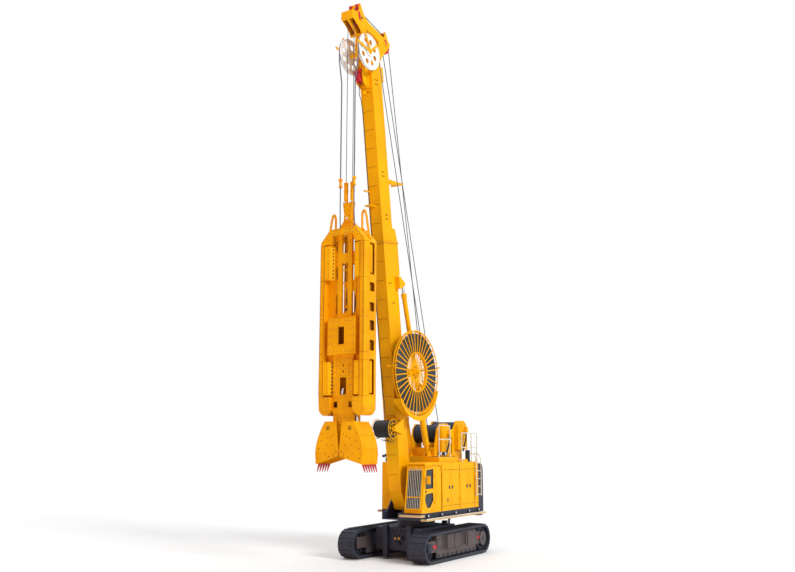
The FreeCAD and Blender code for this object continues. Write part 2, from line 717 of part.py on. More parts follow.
def house_roof():
    """Roof sheet with the raised cooling box, the low box and the exhaust."""
    top = HOUSE_Z1 + ROOF_T
    sheet = box(DECK_X0, HOUSE_X1, -DECK_Y, DECK_Y, HOUSE_Z1, top)
    raised = box(RAISED_X0, HOUSE_X1, RAISED_Y0, RAISED_Y, top, top + RAISED_H)
    w = 20
    inner_top = top + RAISED_H - w
    raised = cut(raised, box(RAISED_X0 + w, HOUSE_X1 - w, RAISED_Y0 + w, RAISED_Y - w, top, inner_top))
    low = box(TAN_X0, TAN_X1, 700, RAISED_Y, top, top + TAN_H)
    stack = Part.makeCylinder(EXHAUST_R, EXHAUST_H, vec(EXHAUST_X, EXHAUST_Y, top))
    stack = cut(stack, Part.makeCylinder(EXHAUST_R - 8, EXHAUST_H, vec(EXHAUST_X, EXHAUST_Y, top + 60)))
    return join(sheet, raised, low, stack)


def engine_block():
    return box(ENGINE_X0, ENGINE_X1, -ENGINE_Y, ENGINE_Y, DECK_Z1, ENGINE_Z1)


def counterweight():
    profile = [
        (DECK_X0, COUNTER_Z0),
        (DECK_X0, COUNTER_Z1),
        (COUNTER_X0 + COUNTER_ROUND, COUNTER_Z1),
        (COUNTER_X0 + COUNTER_ROUND * 0.3, COUNTER_Z1 - COUNTER_ROUND * 0.3),
        (COUNTER_X0, COUNTER_Z1 - COUNTER_ROUND),
        (COUNTER_X0, COUNTER_Z0 + 120),
        (COUNTER_X0 + 120, COUNTER_Z0),
    ]
    return prism_y(profile, -DECK_Y, DECK_Y)


def winch_plate(y0, y1):
    fx, fz = DRUM_FRONT
    rx, rz = DRUM_REAR
    base = HOUSE_Z1 + ROOF_T
    top = base + RAISED_H
    outline = [
        (RAISED_X0, base),
        (RAISED_X0, top),
        (CYL_FOOT[0] - 180, top),
        (CYL_FOOT[0] - 200, TIE_TOP),
        (fx + 560, fz - 300),
        (fx + 420, fz + 200),
        (fx + 180, fz + 430),
        (fx - 250, fz + 430),
        (fx - 520, fz + 120),
        (rx + 520, rz + 60),
        (rx + 260, rz + 430),
        (rx - 180, rz + 430),
        (rx - 290, rz + 250),
        (rx - 290, base),
    ]
    plate = prism_y(outline, y0, y1)
    shaft = [bar_y(c, DRUM_SHAFT_R + RUN_FIT, y0 - 1, y1 + 1) for c in (DRUM_FRONT, DRUM_REAR)]
    window = box(fx - 950, fx - 350, y0 - 1, y1 + 1, top + 120, fz - 150)
    return cut(plate, window, *shaft)


def winch_frame():
    """Side plates that carry both drums, with their cross members and the cylinder feet."""
    left0 = DRUM_Y1 + WINCH_GAP
    right1 = DRUM_Y0 - WINCH_GAP
    left = winch_plate(left0, left0 + WINCH_PLATE_T)
    right = winch_plate(right1 - WINCH_PLATE_T, right1)
    top = ROOF_TOP
    fx, fz = DRUM_FRONT
    rx, rz = DRUM_REAR
    ties = [
        box(CYL_FOOT[0] - 210, CYL_FOOT[0] - 190, right1, left0, top, TIE_TOP),
        box(rx - 290, rx - 250, right1, left0, HOUSE_Z1 + ROOF_T, rz - 560),
        box((fx + rx) / 2 - 40, (fx + rx) / 2 + 40, right1, left0, fz - 60, fz + 20),
        box(CYL_FOOT[0] - 200, CYL_FOOT[0] + 260, -560, 560, top, top + 20),
    ]
    ears = []
    for y in (CYL_Y, -CYL_Y):
        for y0 in (y - CYL_EYE_W / 2 - SIDE_GAP / 2 - EAR_T, y + CYL_EYE_W / 2 + SIDE_GAP / 2):
            ear = prism_y(
                [
                    (CYL_FOOT[0] - 200, top + 20),
                    (CYL_FOOT[0] - 80, CYL_FOOT[1] + 80),
                    (CYL_FOOT[0] + 60, CYL_FOOT[1] + 80),
                    (CYL_FOOT[0] + 200, top + 20),
                ],
                y0, y0 + EAR_T,
            )
            ears.append(ear)
        half = CYL_EYE_W / 2 + SIDE_GAP / 2 + EAR_T
        ears.append(bar_y(CYL_FOOT, CYL_PIN_R, y - half, y + half))
    return join(left, right, *ties, *ears)


def winch_covers():
    """Gear covers on the outside of the left plate."""
    y0 = DRUM_Y1 + WINCH_GAP + WINCH_PLATE_T
    covers = []
    for x, z in (DRUM_FRONT, DRUM_REAR):
        round_top = bar_y((x, z), COVER_R, y0, y0 + COVER_W)
        foot = box(x - COVER_R, x + COVER_R, y0, y0 + COVER_W, z - 850, z)
        cover = join(round_top, foot)
        covers.append(cut(cover, bar_y((x, z), DRUM_SHAFT_R + 20, y0 - 1, y0 + 60)))
    return group(*covers)


def winch_drum(centre):
    barrel = bar_y(centre, DRUM_R, DRUM_Y0, DRUM_Y1)
    barrel = cut(barrel, bar_y(centre, DRUM_R - 40, DRUM_Y0 + DRUM_FLANGE_T, DRUM_Y1 - DRUM_FLANGE_T))
    flanges = [
        bar_y(centre, DRUM_FLANGE_R, DRUM_Y0, DRUM_Y0 + DRUM_FLANGE_T),
        bar_y(centre, DRUM_FLANGE_R, DRUM_Y1 - DRUM_FLANGE_T, DRUM_Y1),
    ]
    reach = WINCH_GAP + WINCH_PLATE_T
    shafts = [
        bar_y(centre, DRUM_SHAFT_R, DRUM_Y0 - reach, DRUM_Y0),
        bar_y(centre, DRUM_SHAFT_R, DRUM_Y1, DRUM_Y1 + reach),
    ]
    return join(barrel, *flanges, *shafts)


def handrails():
    """Rails on the left edge of the roof."""
    top = HOUSE_Z1 + ROOF_T
    raised = top + RAISED_H
    r = 20.0
    y = RAISED_Y - 30
    front = join(
        rod((330, y, raised), (330, y, raised + 1300), r),
        rod((-630, y, raised), (-630, y, raised + 1300), r),
        rod((330, y, raised + 1300), (-630, y, raised + 1300), r),
        rod((330, y, raised + 720), (-630, y, raised + 720), r),
    )
    y = DECK_Y - 30
    rear = join(
        rod((-2420, y, top), (-2420, y, top + 1260), r),
        rod((-2960, y, top), (-2960, y, top + 1260), r),
        rod((-1500, y, top), (-1500, y, top + 1260), r),
        rod((-1500, y, top + 1260), (-2960, y, top + 1260), r),
        rod((-1500, y, top + 630), (-2960, y, top + 630), r),
    )
    return group(front, rear)


# ---- mast, modelled upright about the foot pin ----
def mast_lower():
    """Hollow box from the foot pin to the bolted joint, with the ears of the luffing cylinders."""
    outline = [
        (MAST_FRONT, 700), (MAST_FRONT, MAST_JOINT_Z), (-635, MAST_JOINT_Z), (-635, 9600), (-420, 9450),
        (-420, 7000), (-300, 2700), (-300, 700), (-170, -40), (-110, -150), (110, -150), (200, -40),
    ]
    body = prism_y(outline, -MAST_HALF_W, MAST_HALF_W)
    hollow = prism_y(inset(outline, MAST_WALL), -MAST_HALF_W + MAST_WALL, MAST_HALF_W - MAST_WALL)
    cheek_in = SLOT_Y
    boss = bar_y((0, 0), MAST_BOSS_R, -cheek_in + SIDE_GAP, cheek_in - SIDE_GAP)
    pin = bar_y((0, 0), MAST_PIN_R - RUN_FIT, -cheek_in - CHEEK_T, cheek_in + CHEEK_T)
    ears = []
    x, z = CYL_TOP
    inner = CYL_Y - CYL_EYE_W / 2 - SIDE_GAP / 2
    outer = CYL_Y + CYL_EYE_W / 2 + SIDE_GAP / 2
    root = x + CYL_EYE_R + 60
    for y0, y1 in ((MAST_HALF_W, inner), (outer, outer + EAR_T)):
        ears.append(prism_y([(root + 140, z - 210), (root + 140, z + 300), (x - 30, z + 95),
                             (x - 90, z + 35), (x - 90, z - 60), (x - 30, z - 100)], y0, y1))
    ears.append(box(root + 30, root + 200, MAST_HALF_W, outer + EAR_T, z - 210, z + 300))
    ears.append(bar_y(CYL_TOP, CYL_PIN_R, inner, outer + EAR_T))
    ears = join(*ears)
    half = MAST_HALF_W + 30
    flange = box(-635 - 30, MAST_FRONT + 30, -half, half, MAST_JOINT_Z - 30, MAST_JOINT_Z)
    above = MAST_JOINT_Z + 200
    hollow_top = inset([(-635, 9600), (MAST_FRONT, 9600), (MAST_FRONT, above), (-635, above)],
                       MAST_WALL)
    flange = cut(flange, prism_y(hollow_top, -MAST_HALF_W + MAST_WALL, MAST_HALF_W - MAST_WALL))
    return on_mast(join(cut(body, hollow), boss, pin, ears, mirror_y(ears), flange))


def mast_upper():
    """Upper box with its joint flange, top flange, rope guide arm and front brackets."""
    outline = [
        (MAST_FRONT, MAST_JOINT_Z), (MAST_FRONT, MAST_TOP_Z), (-285, MAST_TOP_Z), (-285, 11600),
        (-510, 11560),
        (-635, MAST_JOINT_Z + 40), (-635, MAST_JOINT_Z),
    ]
    body = prism_y(outline, -MAST_HALF_W, MAST_HALF_W)
    hollow = prism_y(inset(outline, MAST_WALL), -MAST_HALF_W + MAST_WALL, MAST_HALF_W - MAST_WALL)
    flange = box(-665, MAST_FRONT + 30, -MAST_HALF_W - 30, MAST_HALF_W + 30, MAST_JOINT_Z, MAST_JOINT_Z + 30)
    out = MAST_FLANGE_OUT
    top = box(-285 - out, MAST_FRONT + out, -MAST_HALF_W - out, MAST_HALF_W + out,
              MAST_TOP_Z, MAST_TOP_Z + MAST_FLANGE_T)
    arm = prism_y([(-285, 13480), (-285, 13720), (-1470, 13660), (-1470, 13600)], 150, 250)
    fork = box(-1470, -1400, -300, 300, 13590, 13670)
    brackets = [
        box(MAST_FRONT, MAST_FRONT + 400, -260, -180, 13110, 13170),
        box(MAST_FRONT, MAST_FRONT + 400, -260, 40, 12470, 12530),
    ]
    return on_mast(join(cut(body, hollow), cut(flange, hollow), top, arm, fork, *brackets))


HEAD_OUTLINE = [
    (MAST_FRONT - 20, MAST_TOP_Z + MAST_FLANGE_T), (-58, 19230), (-193, 19350), (-299, 19535), (-271, 19749),
    (-100, 19834), (204, 19925), (616, 20025), (678, 19834), (1019, 19651), (1064, 19767), (1126, 19878),
    (1327, 20055), (1529, 20200), (1668, 20273), (1592, 20593), (1513, 20620), (1330, 20560), (1120, 20700),
    (959, 21049), (887, 20898), (808, 20750), (735, 20598), (525, 20443), (382, 20355), (6, 20246),
    (-455, 20111), (-728, 20031), (-932, 20336), (-993, 20173), (-1090, 19974), (-1260, 19818),
    (-1037, 19577), (-759, 19347), (-340, MAST_TOP_Z + MAST_FLANGE_T),
]


def rope_slot():
    """Way of the falling ropes through the head, and the open arch under its nose."""
    x = ROPE_X
    z = FRONT_AXLE[1]
    side = [(x - 60, z + 60), (x + 130, z + 60), (x + 380, z - 900), (x + 380, z - 1500),
            (x - 190, z - 1500), (x - 110, z - 500)]
    arch = [(1045, 19640), (1580, 20180), (1560, 20300), (1040, 19860)]
    width = HEAD_HALF_W - HEAD_PLATE - HEAD_INNER_Y
    slots = []
    for y0 in (HEAD_INNER_Y, -HEAD_HALF_W + HEAD_PLATE):
        slots.append(prism_y(side, y0, y0 + width))
        slots.append(on_mast(prism_y(arch, y0, y0 + width)))
    return slots


def mast_head():
    """Two sheave housings on a bent neck, the sheave axles, the hose disc hanger and its guides."""
    lower = [prism_y(HEAD_OUTLINE, y0, y0 + HEAD_PLATE)
             for y0 in (HEAD_HALF_W - HEAD_PLATE, HEAD_INNER_Y - HEAD_PLATE,
                        -HEAD_INNER_Y, -HEAD_HALF_W)]
    band = cut(prism_y(HEAD_OUTLINE, -HEAD_HALF_W, HEAD_HALF_W),
               prism_y(inset(HEAD_OUTLINE, HEAD_BAND), -HEAD_HALF_W - 1, HEAD_HALF_W + 1))
    front = to_mast(*FRONT_AXLE)
    rear = to_mast(*REAR_AXLE)
    clear = []
    for centre, r in ((front, SHEAVE_R + 30), (rear, REAR_SHEAVE_R + 30)):
        for y0 in (HEAD_INNER_Y, -HEAD_HALF_W + HEAD_PLATE):
            clear.append(bar_y(centre, r, y0, y0 + HEAD_HALF_W - HEAD_PLATE - HEAD_INNER_Y))
    band = on_mast(cut(band, *clear))
    band = cut(band, *rope_slot())
    axles = [
        on_mast(bar_y(front, SHEAVE_BORE_R - RUN_FIT, -HEAD_HALF_W - 25, HEAD_HALF_W + 25)),
        on_mast(bar_y(rear, SHEAVE_BORE_R - RUN_FIT, -HEAD_HALF_W - 25, HEAD_HALF_W + 25)),
    ]
    collars = []
    for centre in (front, rear):
        half = SHEAVE_W / 2 + 5
        for y0, y1 in ((HEAD_INNER_Y, ROPE_Y - half), (ROPE_Y + half, HEAD_HALF_W - HEAD_PLATE)):
            collar = on_mast(bar_y(centre, SHEAVE_BORE_R + 30, y0, y1))
            collars += [collar, mirror_y(collar)]
    hanger = [(640, 20010), (700, 19830), (1020, 19660), (1140, 19000), (DISC_C[0] + 60, DISC_C[1] - 110),
              (DISC_C[0] - 60, DISC_C[1] - 110), (640, 19000), (560, 19900)]
    inner = HEAD_INNER_Y - HEAD_PLATE
    hanger = on_mast(prism_y(hanger, -inner, inner))
    reach = DISC_Y + DISC_W / 2
    disc_axle = on_mast(bar_y(DISC_C, DISC_BORE_R - RUN_FIT, -reach - 80, reach + 80))
    spacer = on_mast(bar_y(DISC_C, DISC_BORE_R + 40, -DISC_Y + DISC_W / 2 + 5, DISC_Y - DISC_W / 2 - 5))
    guides = []
    for sign in (1, -1):
        y0, y1 = sorted((sign * (reach + 30), sign * (reach + 60)))
        hub = bar_y(DISC_C, 110.0, y0, y1)
        cx, cz = DISC_C
        arms = []
        for tx, tz in ((1770, 19141), (1186, 19690), (300, 19316)):
            length = math.hypot(tx - cx, tz - cz)
            ux = (tx - cx) / length * 45
            uz = (tz - cz) / length * 45
            arm = [(cx - uz, cz + ux), (tx - uz, tz + ux), (tx + uz, tz - ux), (cx + uz, cz - ux)]
            arms.append(prism_y(arm, y0, y1))
        guides.append(on_mast(join(hub, *arms)))
    return join(*[on_mast(p) for p in lower], band, *axles, *collars, hanger, disc_axle, spacer, *guides)


def grooved(centre, r, y):
    """Rope sheave with its groove and bore."""
    wheel = bar_y(centre, r, y - SHEAVE_W / 2, y + SHEAVE_W / 2)
    depth = r - (FRONT_ROPE_RADIUS - ROPE_R - GROOVE_GAP)
    ring = bar_y(centre, r + 1, y - GROOVE_W / 2, y + GROOVE_W / 2)
    core = bar_y(centre, r - depth, y - GROOVE_W, y + GROOVE_W)
    return cut(wheel, cut(ring, core), bar_y(centre, SHEAVE_BORE_R, y - SHEAVE_W, y + SHEAVE_W))


FRONT_ROPE_RADIUS = ROPE_X - FRONT_AXLE[0]


def front_sheaves():
    return group(*[grooved(FRONT_AXLE, SHEAVE_R, y) for y in (ROPE_Y, -ROPE_Y)])


def rear_sheaves():
    return group(*[grooved(REAR_AXLE, REAR_SHEAVE_R, y) for y in (ROPE_Y, -ROPE_Y)])


def hose_disc_left():
    """Disc with lightening holes that leads a hydraulic hose over the mast head."""
    y0 = DISC_Y - DISC_W / 2
    y1 = DISC_Y + DISC_W / 2
    disc = bar_y(DISC_C, DISC_R, y0, y1)
    holes = []
    for i in range(DISC_HOLES):
        angle = 2 * math.pi * (i + 0.5) / DISC_HOLES
        centre = (DISC_C[0] + DISC_HOLE_PCR * math.cos(angle), DISC_C[1] + DISC_HOLE_PCR * math.sin(angle))
        holes.append(bar_y(centre, DISC_HOLE_R, y0 - 1, y1 + 1))
    for a, b in ((y0 - 1, y0 + 25), (y1 - 25, y1 + 1)):
        holes.append(cut(bar_y(DISC_C, DISC_R - 50, a, b), bar_y(DISC_C, 110, a - 1, b + 1)))
    rim = cut(bar_y(DISC_C, DISC_R + 1, DISC_Y - 22, DISC_Y + 22), bar_y(DISC_C, DISC_R - 35, y0, y1))
    return on_mast(cut(disc, rim, bar_y(DISC_C, DISC_BORE_R, y0 - 1, y1 + 1), *holes))


def hose_disc_right():
    return mirror_y(hose_disc_left())


def reel_support():
    """Bracket and axle of the hose reel, with the hose guard below it."""
    x, z = REEL_C
    y0 = MAST_HALF_W
    plate = box(x - 130, 150, y0, y0 + 60, z - 330, z + 330)
    axle = bar_y(REEL_C, REEL_AXLE_R - RUN_FIT, y0 + 60, REEL_Y1 + 20)
    sleeve = bar_y(REEL_C, REEL_AXLE_R + 60, y0 + 60, REEL_Y0 - 15)
    r0 = REEL_R + GUARD_GAP
    inner = []
    trough = []
    crescent = []
    for i in range(13):
        angle = math.radians(GUARD_A0 + (GUARD_A1 - GUARD_A0) * i / 12.0)
        c = math.cos(angle)
        v = math.sin(angle)
        swell = 170.0 * math.sin(math.pi * i / 12.0)
        inner.append((x + r0 * c, z + r0 * v))
        trough.append((x + (r0 + 30) * c, z + (r0 + 30) * v))
        crescent.append((x + (r0 + 40 + swell) * c, z + (r0 + 40 + swell) * v))
    guard = [prism_y(inner + list(reversed(trough)), 560.0, REEL_Y1 + 40)]
    guard.append(prism_y(inner + list(reversed(crescent)), REEL_Y1 + 25, REEL_Y1 + 40))
    for i in (1, 6, 11):
        a = trough[i]
        guard.append(rod((x + (a[0] - x) * 0.06, 600.0, z + (a[1] - z) * 0.06), (a[0], 600.0, a[1]), 30))
    return on_mast(join(plate, axle, sleeve, *guard))


def hose_reel():
    """Large spoked reel for the hydraulic hoses."""
    x, z = REEL_C
    hub = bar_y(REEL_C, REEL_AXLE_R + 50, REEL_Y0, REEL_Y1)
    far = REEL_Y0 + REEL_DISC_T
    boss = bar_y(REEL_C, REEL_BOSS_R, REEL_Y0, far)
    for i in range(6):
        angle = math.radians(30 + 60 * i)
        hole = (x + 0.72 * REEL_BOSS_R * math.cos(angle), z + 0.72 * REEL_BOSS_R * math.sin(angle))
        boss = cut(boss, bar_y(hole, 45, REEL_Y0 - 1, far + 1))
    barrel = bar_y(REEL_C, REEL_RING_R, REEL_Y0, REEL_Y1)
    barrel = cut(barrel, bar_y(REEL_C, REEL_RING_R - 25, REEL_Y0, REEL_Y1))
    pieces = [hub, boss, barrel]
    for y0, start in ((REEL_Y0, REEL_BOSS_R - 20), (REEL_Y1 - REEL_DISC_T, REEL_RING_R - 12)):
        y1 = y0 + REEL_DISC_T
        pieces.append(cut(bar_y(REEL_C, REEL_R, y0, y1), bar_y(REEL_C, REEL_R - 55, y0, y1)))
        for i in range(REEL_SPOKES):
            spoke = box(start, REEL_R - 30, y0, y1, -REEL_SPOKE_W / 2, REEL_SPOKE_W / 2)
            spoke.rotate(vec(0, 0, 0), vec(0, 1, 0), 360.0 * i / REEL_SPOKES)
            spoke.translate(vec(x, 0, z))
            pieces.append(spoke)
    return on_mast(cut(join(*pieces), bar_y(REEL_C, REEL_AXLE_R, REEL_Y0 - 1, REEL_Y1 + 1)))


def cable_bracket():
    """Carrier of the cable drum on the mast's front face."""
    x, z = CABLE_C
    g = 15.0
    t = 40.0
    side = [(MAST_FRONT + 100, z - 300), (x + 60, z - 70), (x + 60, z + 70), (MAST_FRONT + 100, z + 300)]
    base = box(MAST_FRONT, MAST_FRONT + 100, CABLE_Y0 - g - t, CABLE_Y1 + g + t, z - 300, z + 300)
    plates = [prism_y(side, y, y + t) for y in (CABLE_Y0 - g - t, CABLE_Y1 + g)]
    bore = bar_y(CABLE_C, CABLE_SHAFT_R + RUN_FIT, CABLE_Y0 - 100, CABLE_Y1 + 100)
    return on_mast(cut(join(base, *plates), bore))


def cable_drum():
    t = 25.0
    reach = 15.0 + 40.0
    barrel = bar_y(CABLE_C, CABLE_BARREL_R, CABLE_Y0, CABLE_Y1)
    barrel = cut(barrel, bar_y(CABLE_C, CABLE_BARREL_R - 12, CABLE_Y0 + t, CABLE_Y1 - t))
    flanges = [bar_y(CABLE_C, CABLE_R, y, y + t) for y in (CABLE_Y0, CABLE_Y1 - t)]
    shafts = [
        bar_y(CABLE_C, CABLE_SHAFT_R, CABLE_Y0 - reach, CABLE_Y0),
        bar_y(CABLE_C, CABLE_SHAFT_R, CABLE_Y1, CABLE_Y1 + reach),
    ]
    return on_mast(join(barrel, *flanges, *shafts))


def cylinder_line():
    """Foot, rod eye, unit direction and barrel length of the luffing cylinders."""
    fx, fz = CYL_FOOT
    tx, tz = from_mast(*CYL_TOP)
    length = math.hypot(tx - fx, tz - fz)
    return (fx, fz), (tx, tz), ((tx - fx) / length, (tz - fz) / length), length - ROD_SHOWN


def luff_barrels():
    foot, top, u, body = cylinder_line()
    y = CYL_Y
    half = CYL_EYE_W / 2
    start = CYL_EYE_R + 90
    near = (foot[0] + u[0] * (CYL_EYE_R - 20), y, foot[1] + u[1] * (CYL_EYE_R - 20))
    a = (foot[0] + u[0] * start, y, foot[1] + u[1] * start)
    b = (foot[0] + u[0] * body, y, foot[1] + u[1] * body)
    eye = bar_y(foot, CYL_EYE_R, y - half, y + half)
    deep = (foot[0] + u[0] * (start + 120), y, foot[1] + u[1] * (start + 120))
    shank = rod(near, (a[0] + u[0], y, a[2] + u[1]), half - 4)
    gland = rod((b[0] - u[0] * 140, y, b[2] - u[1] * 140), b, CYL_R + 14)
    bore = bar_y(foot, CYL_PIN_R + RUN_FIT, y - half - 1, y + half + 1)
    barrel = cut(join(rod(a, b, CYL_R), gland, shank, eye), bore)
    barrel = cut(barrel, rod(deep, (b[0] + u[0], y, b[2] + u[1]), CYL_ROD_R + RUN_FIT))
    return pair_y(barrel)


def luff_rods():
    foot, top, u, body = cylinder_line()
    y = CYL_Y
    half = CYL_EYE_W / 2
    inside = body - 1200
    a = (foot[0] + u[0] * inside, y, foot[1] + u[1] * inside)
    reach = CYL_EYE_R + 5
    b = (top[0] - u[0] * reach, y, top[1] - u[1] * reach)
    eye = bar_y(top, CYL_EYE_R + 15, y - half, y + half)
    shape = join(rod(a, b, CYL_ROD_R), eye)
    return pair_y(cut(shape, bar_y(top, CYL_PIN_R + ROD_EYE_PLAY, y - half - 1, y + half + 1)))


def hoist_ropes():
    """The two falls from the front sheaves into the grab's sockets."""
    z0 = SOCKET_TOP - ROPE_IN_SOCKET
    return group(*[rod((ROPE_X, y, z0), (ROPE_X, y, FRONT_AXLE[1]), ROPE_R) for y in (ROPE_Y, -ROPE_Y)])


# ---- grab ----
GRAB_X = (GRAB_X0 + GRAB_X1) / 2.0
SIDE_SLOTS = ((11050.0, 12300.0), (10380.0, 10730.0), (9600.0, 9950.0), (8860.0, 9250.0), (8090.0, 8490.0),
              (6420.0, 7760.0))
COLUMN_X0 = 5060.0        # recessed part of the columns between the pads
COLUMN_X1 = 5300.0
PAD_Z = ((6430.0, 7700.0), (10930.0, 12300.0))
PAD_SLANT = 130.0
CORE_Y = 470.0            # tube below the centre box, round the push rods
CORE_X0 = 4900.0
CORE_X1 = 5460.0
FOOT_Y0 = 520.0           # inner face of the two feet
CENTRE_Y = 645.0
ROD_SLOT_Y = 700.0
ROD_SLOT_X = 105.0


def shoulder_z(y):
    return GRAB_TOP - (y - SHOULDER_Y) * (GRAB_TOP - SHOULDER_Z) / (GRAB_Y - SHOULDER_Y)


def grab_column():
    plan = [
        (GRAB_X0, STRIP_Y), (GRAB_X0, GRAB_Y - CHAMFER_Y), (GRAB_X0 + CHAMFER_X, GRAB_Y),
        (GRAB_X1 - CHAMFER_X, GRAB_Y), (GRAB_X1, GRAB_Y - CHAMFER_Y), (GRAB_X1, STRIP_Y),
        (COLUMN_X1, STRIP_Y), (COLUMN_X1, COLUMN_IN_Y), (COLUMN_X0, COLUMN_IN_Y), (COLUMN_X0, STRIP_Y),
    ]
    w = GRAB_WALL
    shell = cut(prism_z(plan, COLUMN_Z0, SHOULDER_Z), prism_z(inset(plan, w), COLUMN_Z0 + w, SHOULDER_Z - w))
    slots = [
        box(GRAB_X - 160, GRAB_X + 160, GRAB_Y - w - 5, GRAB_Y + 1, z0, z1) for z0, z1 in SIDE_SLOTS
    ]
    return cut(shell, *slots)


def hollow_x(outline, x0, x1, wall):
    """Closed box of a (y, z) outline between two end plates."""
    return cut(prism_x(outline, x0, x1), prism_x(inset(outline, wall), x0 + wall, x1 - wall))


def lifting_loop():
    points = [(640, shoulder_z(640) - 20), (640, 13500), (680, LOOP_TOP - 40), (735, LOOP_TOP),
              (790, LOOP_TOP - 60), (850, 13400), (1000, shoulder_z(1000) - 20)]
    pieces = []
    for a, b in zip(points, points[1:]):
        pieces.append(rod((GRAB_X, a[0], a[1]), (GRAB_X, b[0], b[1]), LOOP_R))
    for p in points[1:-1]:
        pieces.append(Part.makeSphere(LOOP_R, vec(GRAB_X, p[0], p[1])))
    return join(*pieces)


def foot_solid(distance):
    """Left foot under a column, made smaller by a distance on every face."""
    across = [(FOOT_Y0, COLUMN_Z0), (FOOT_Y0, 5860), (620, 5730), (700, 5660), (900, 5660), (1010, 5760),
              (GRAB_Y, 5990), (GRAB_Y, COLUMN_Z0)]
    along = [(GRAB_X0, COLUMN_Z0), (GRAB_X0, 6120), (GRAB_X0 + 110, 5660), (GRAB_X1 - 110, 5660),
             (GRAB_X1, 6120), (GRAB_X1, COLUMN_Z0)]
    plan = [(GRAB_X0, FOOT_Y0), (GRAB_X0, GRAB_Y - CHAMFER_Y), (GRAB_X0 + CHAMFER_X, GRAB_Y),
            (GRAB_X1 - CHAMFER_X, GRAB_Y), (GRAB_X1, GRAB_Y - CHAMFER_Y), (GRAB_X1, FOOT_Y0)]
    if distance:
        across = inset(across, distance)
        along = inset(along, distance)
        plan = inset(plan, distance)
    body = prism_x(across, GRAB_X0, GRAB_X1).common(prism_y(along, FOOT_Y0, GRAB_Y))
    return body.common(prism_z(plan, 5600, COLUMN_Z0))


def shoulder_solid(distance):
    """Top cross frame: sloped ends, sides chamfered like the columns, arched below the tie."""
    across = [(-GRAB_Y, SHOULDER_Z), (-SHOULDER_Y, GRAB_TOP), (SHOULDER_Y, GRAB_TOP), (GRAB_Y, SHOULDER_Z),
              (COLUMN_IN_Y + PAD_SLANT, SHOULDER_Z), (COLUMN_IN_Y, TOP_TIE_Z), (-COLUMN_IN_Y, TOP_TIE_Z),
              (-COLUMN_IN_Y - PAD_SLANT, SHOULDER_Z)]
    y1 = GRAB_Y - CHAMFER_Y
    plan = [(GRAB_X0, -y1), (GRAB_X0, y1), (GRAB_X0 + CHAMFER_X, GRAB_Y), (GRAB_X1 - CHAMFER_X, GRAB_Y),
            (GRAB_X1, y1), (GRAB_X1, -y1), (GRAB_X1 - CHAMFER_X, -GRAB_Y), (GRAB_X0 + CHAMFER_X, -GRAB_Y)]
    if distance:
        across = inset(across, distance)
        plan = inset(plan, distance)
    return prism_x(across, GRAB_X0, GRAB_X1).common(prism_z(plan, SHOULDER_Z, GRAB_TOP))


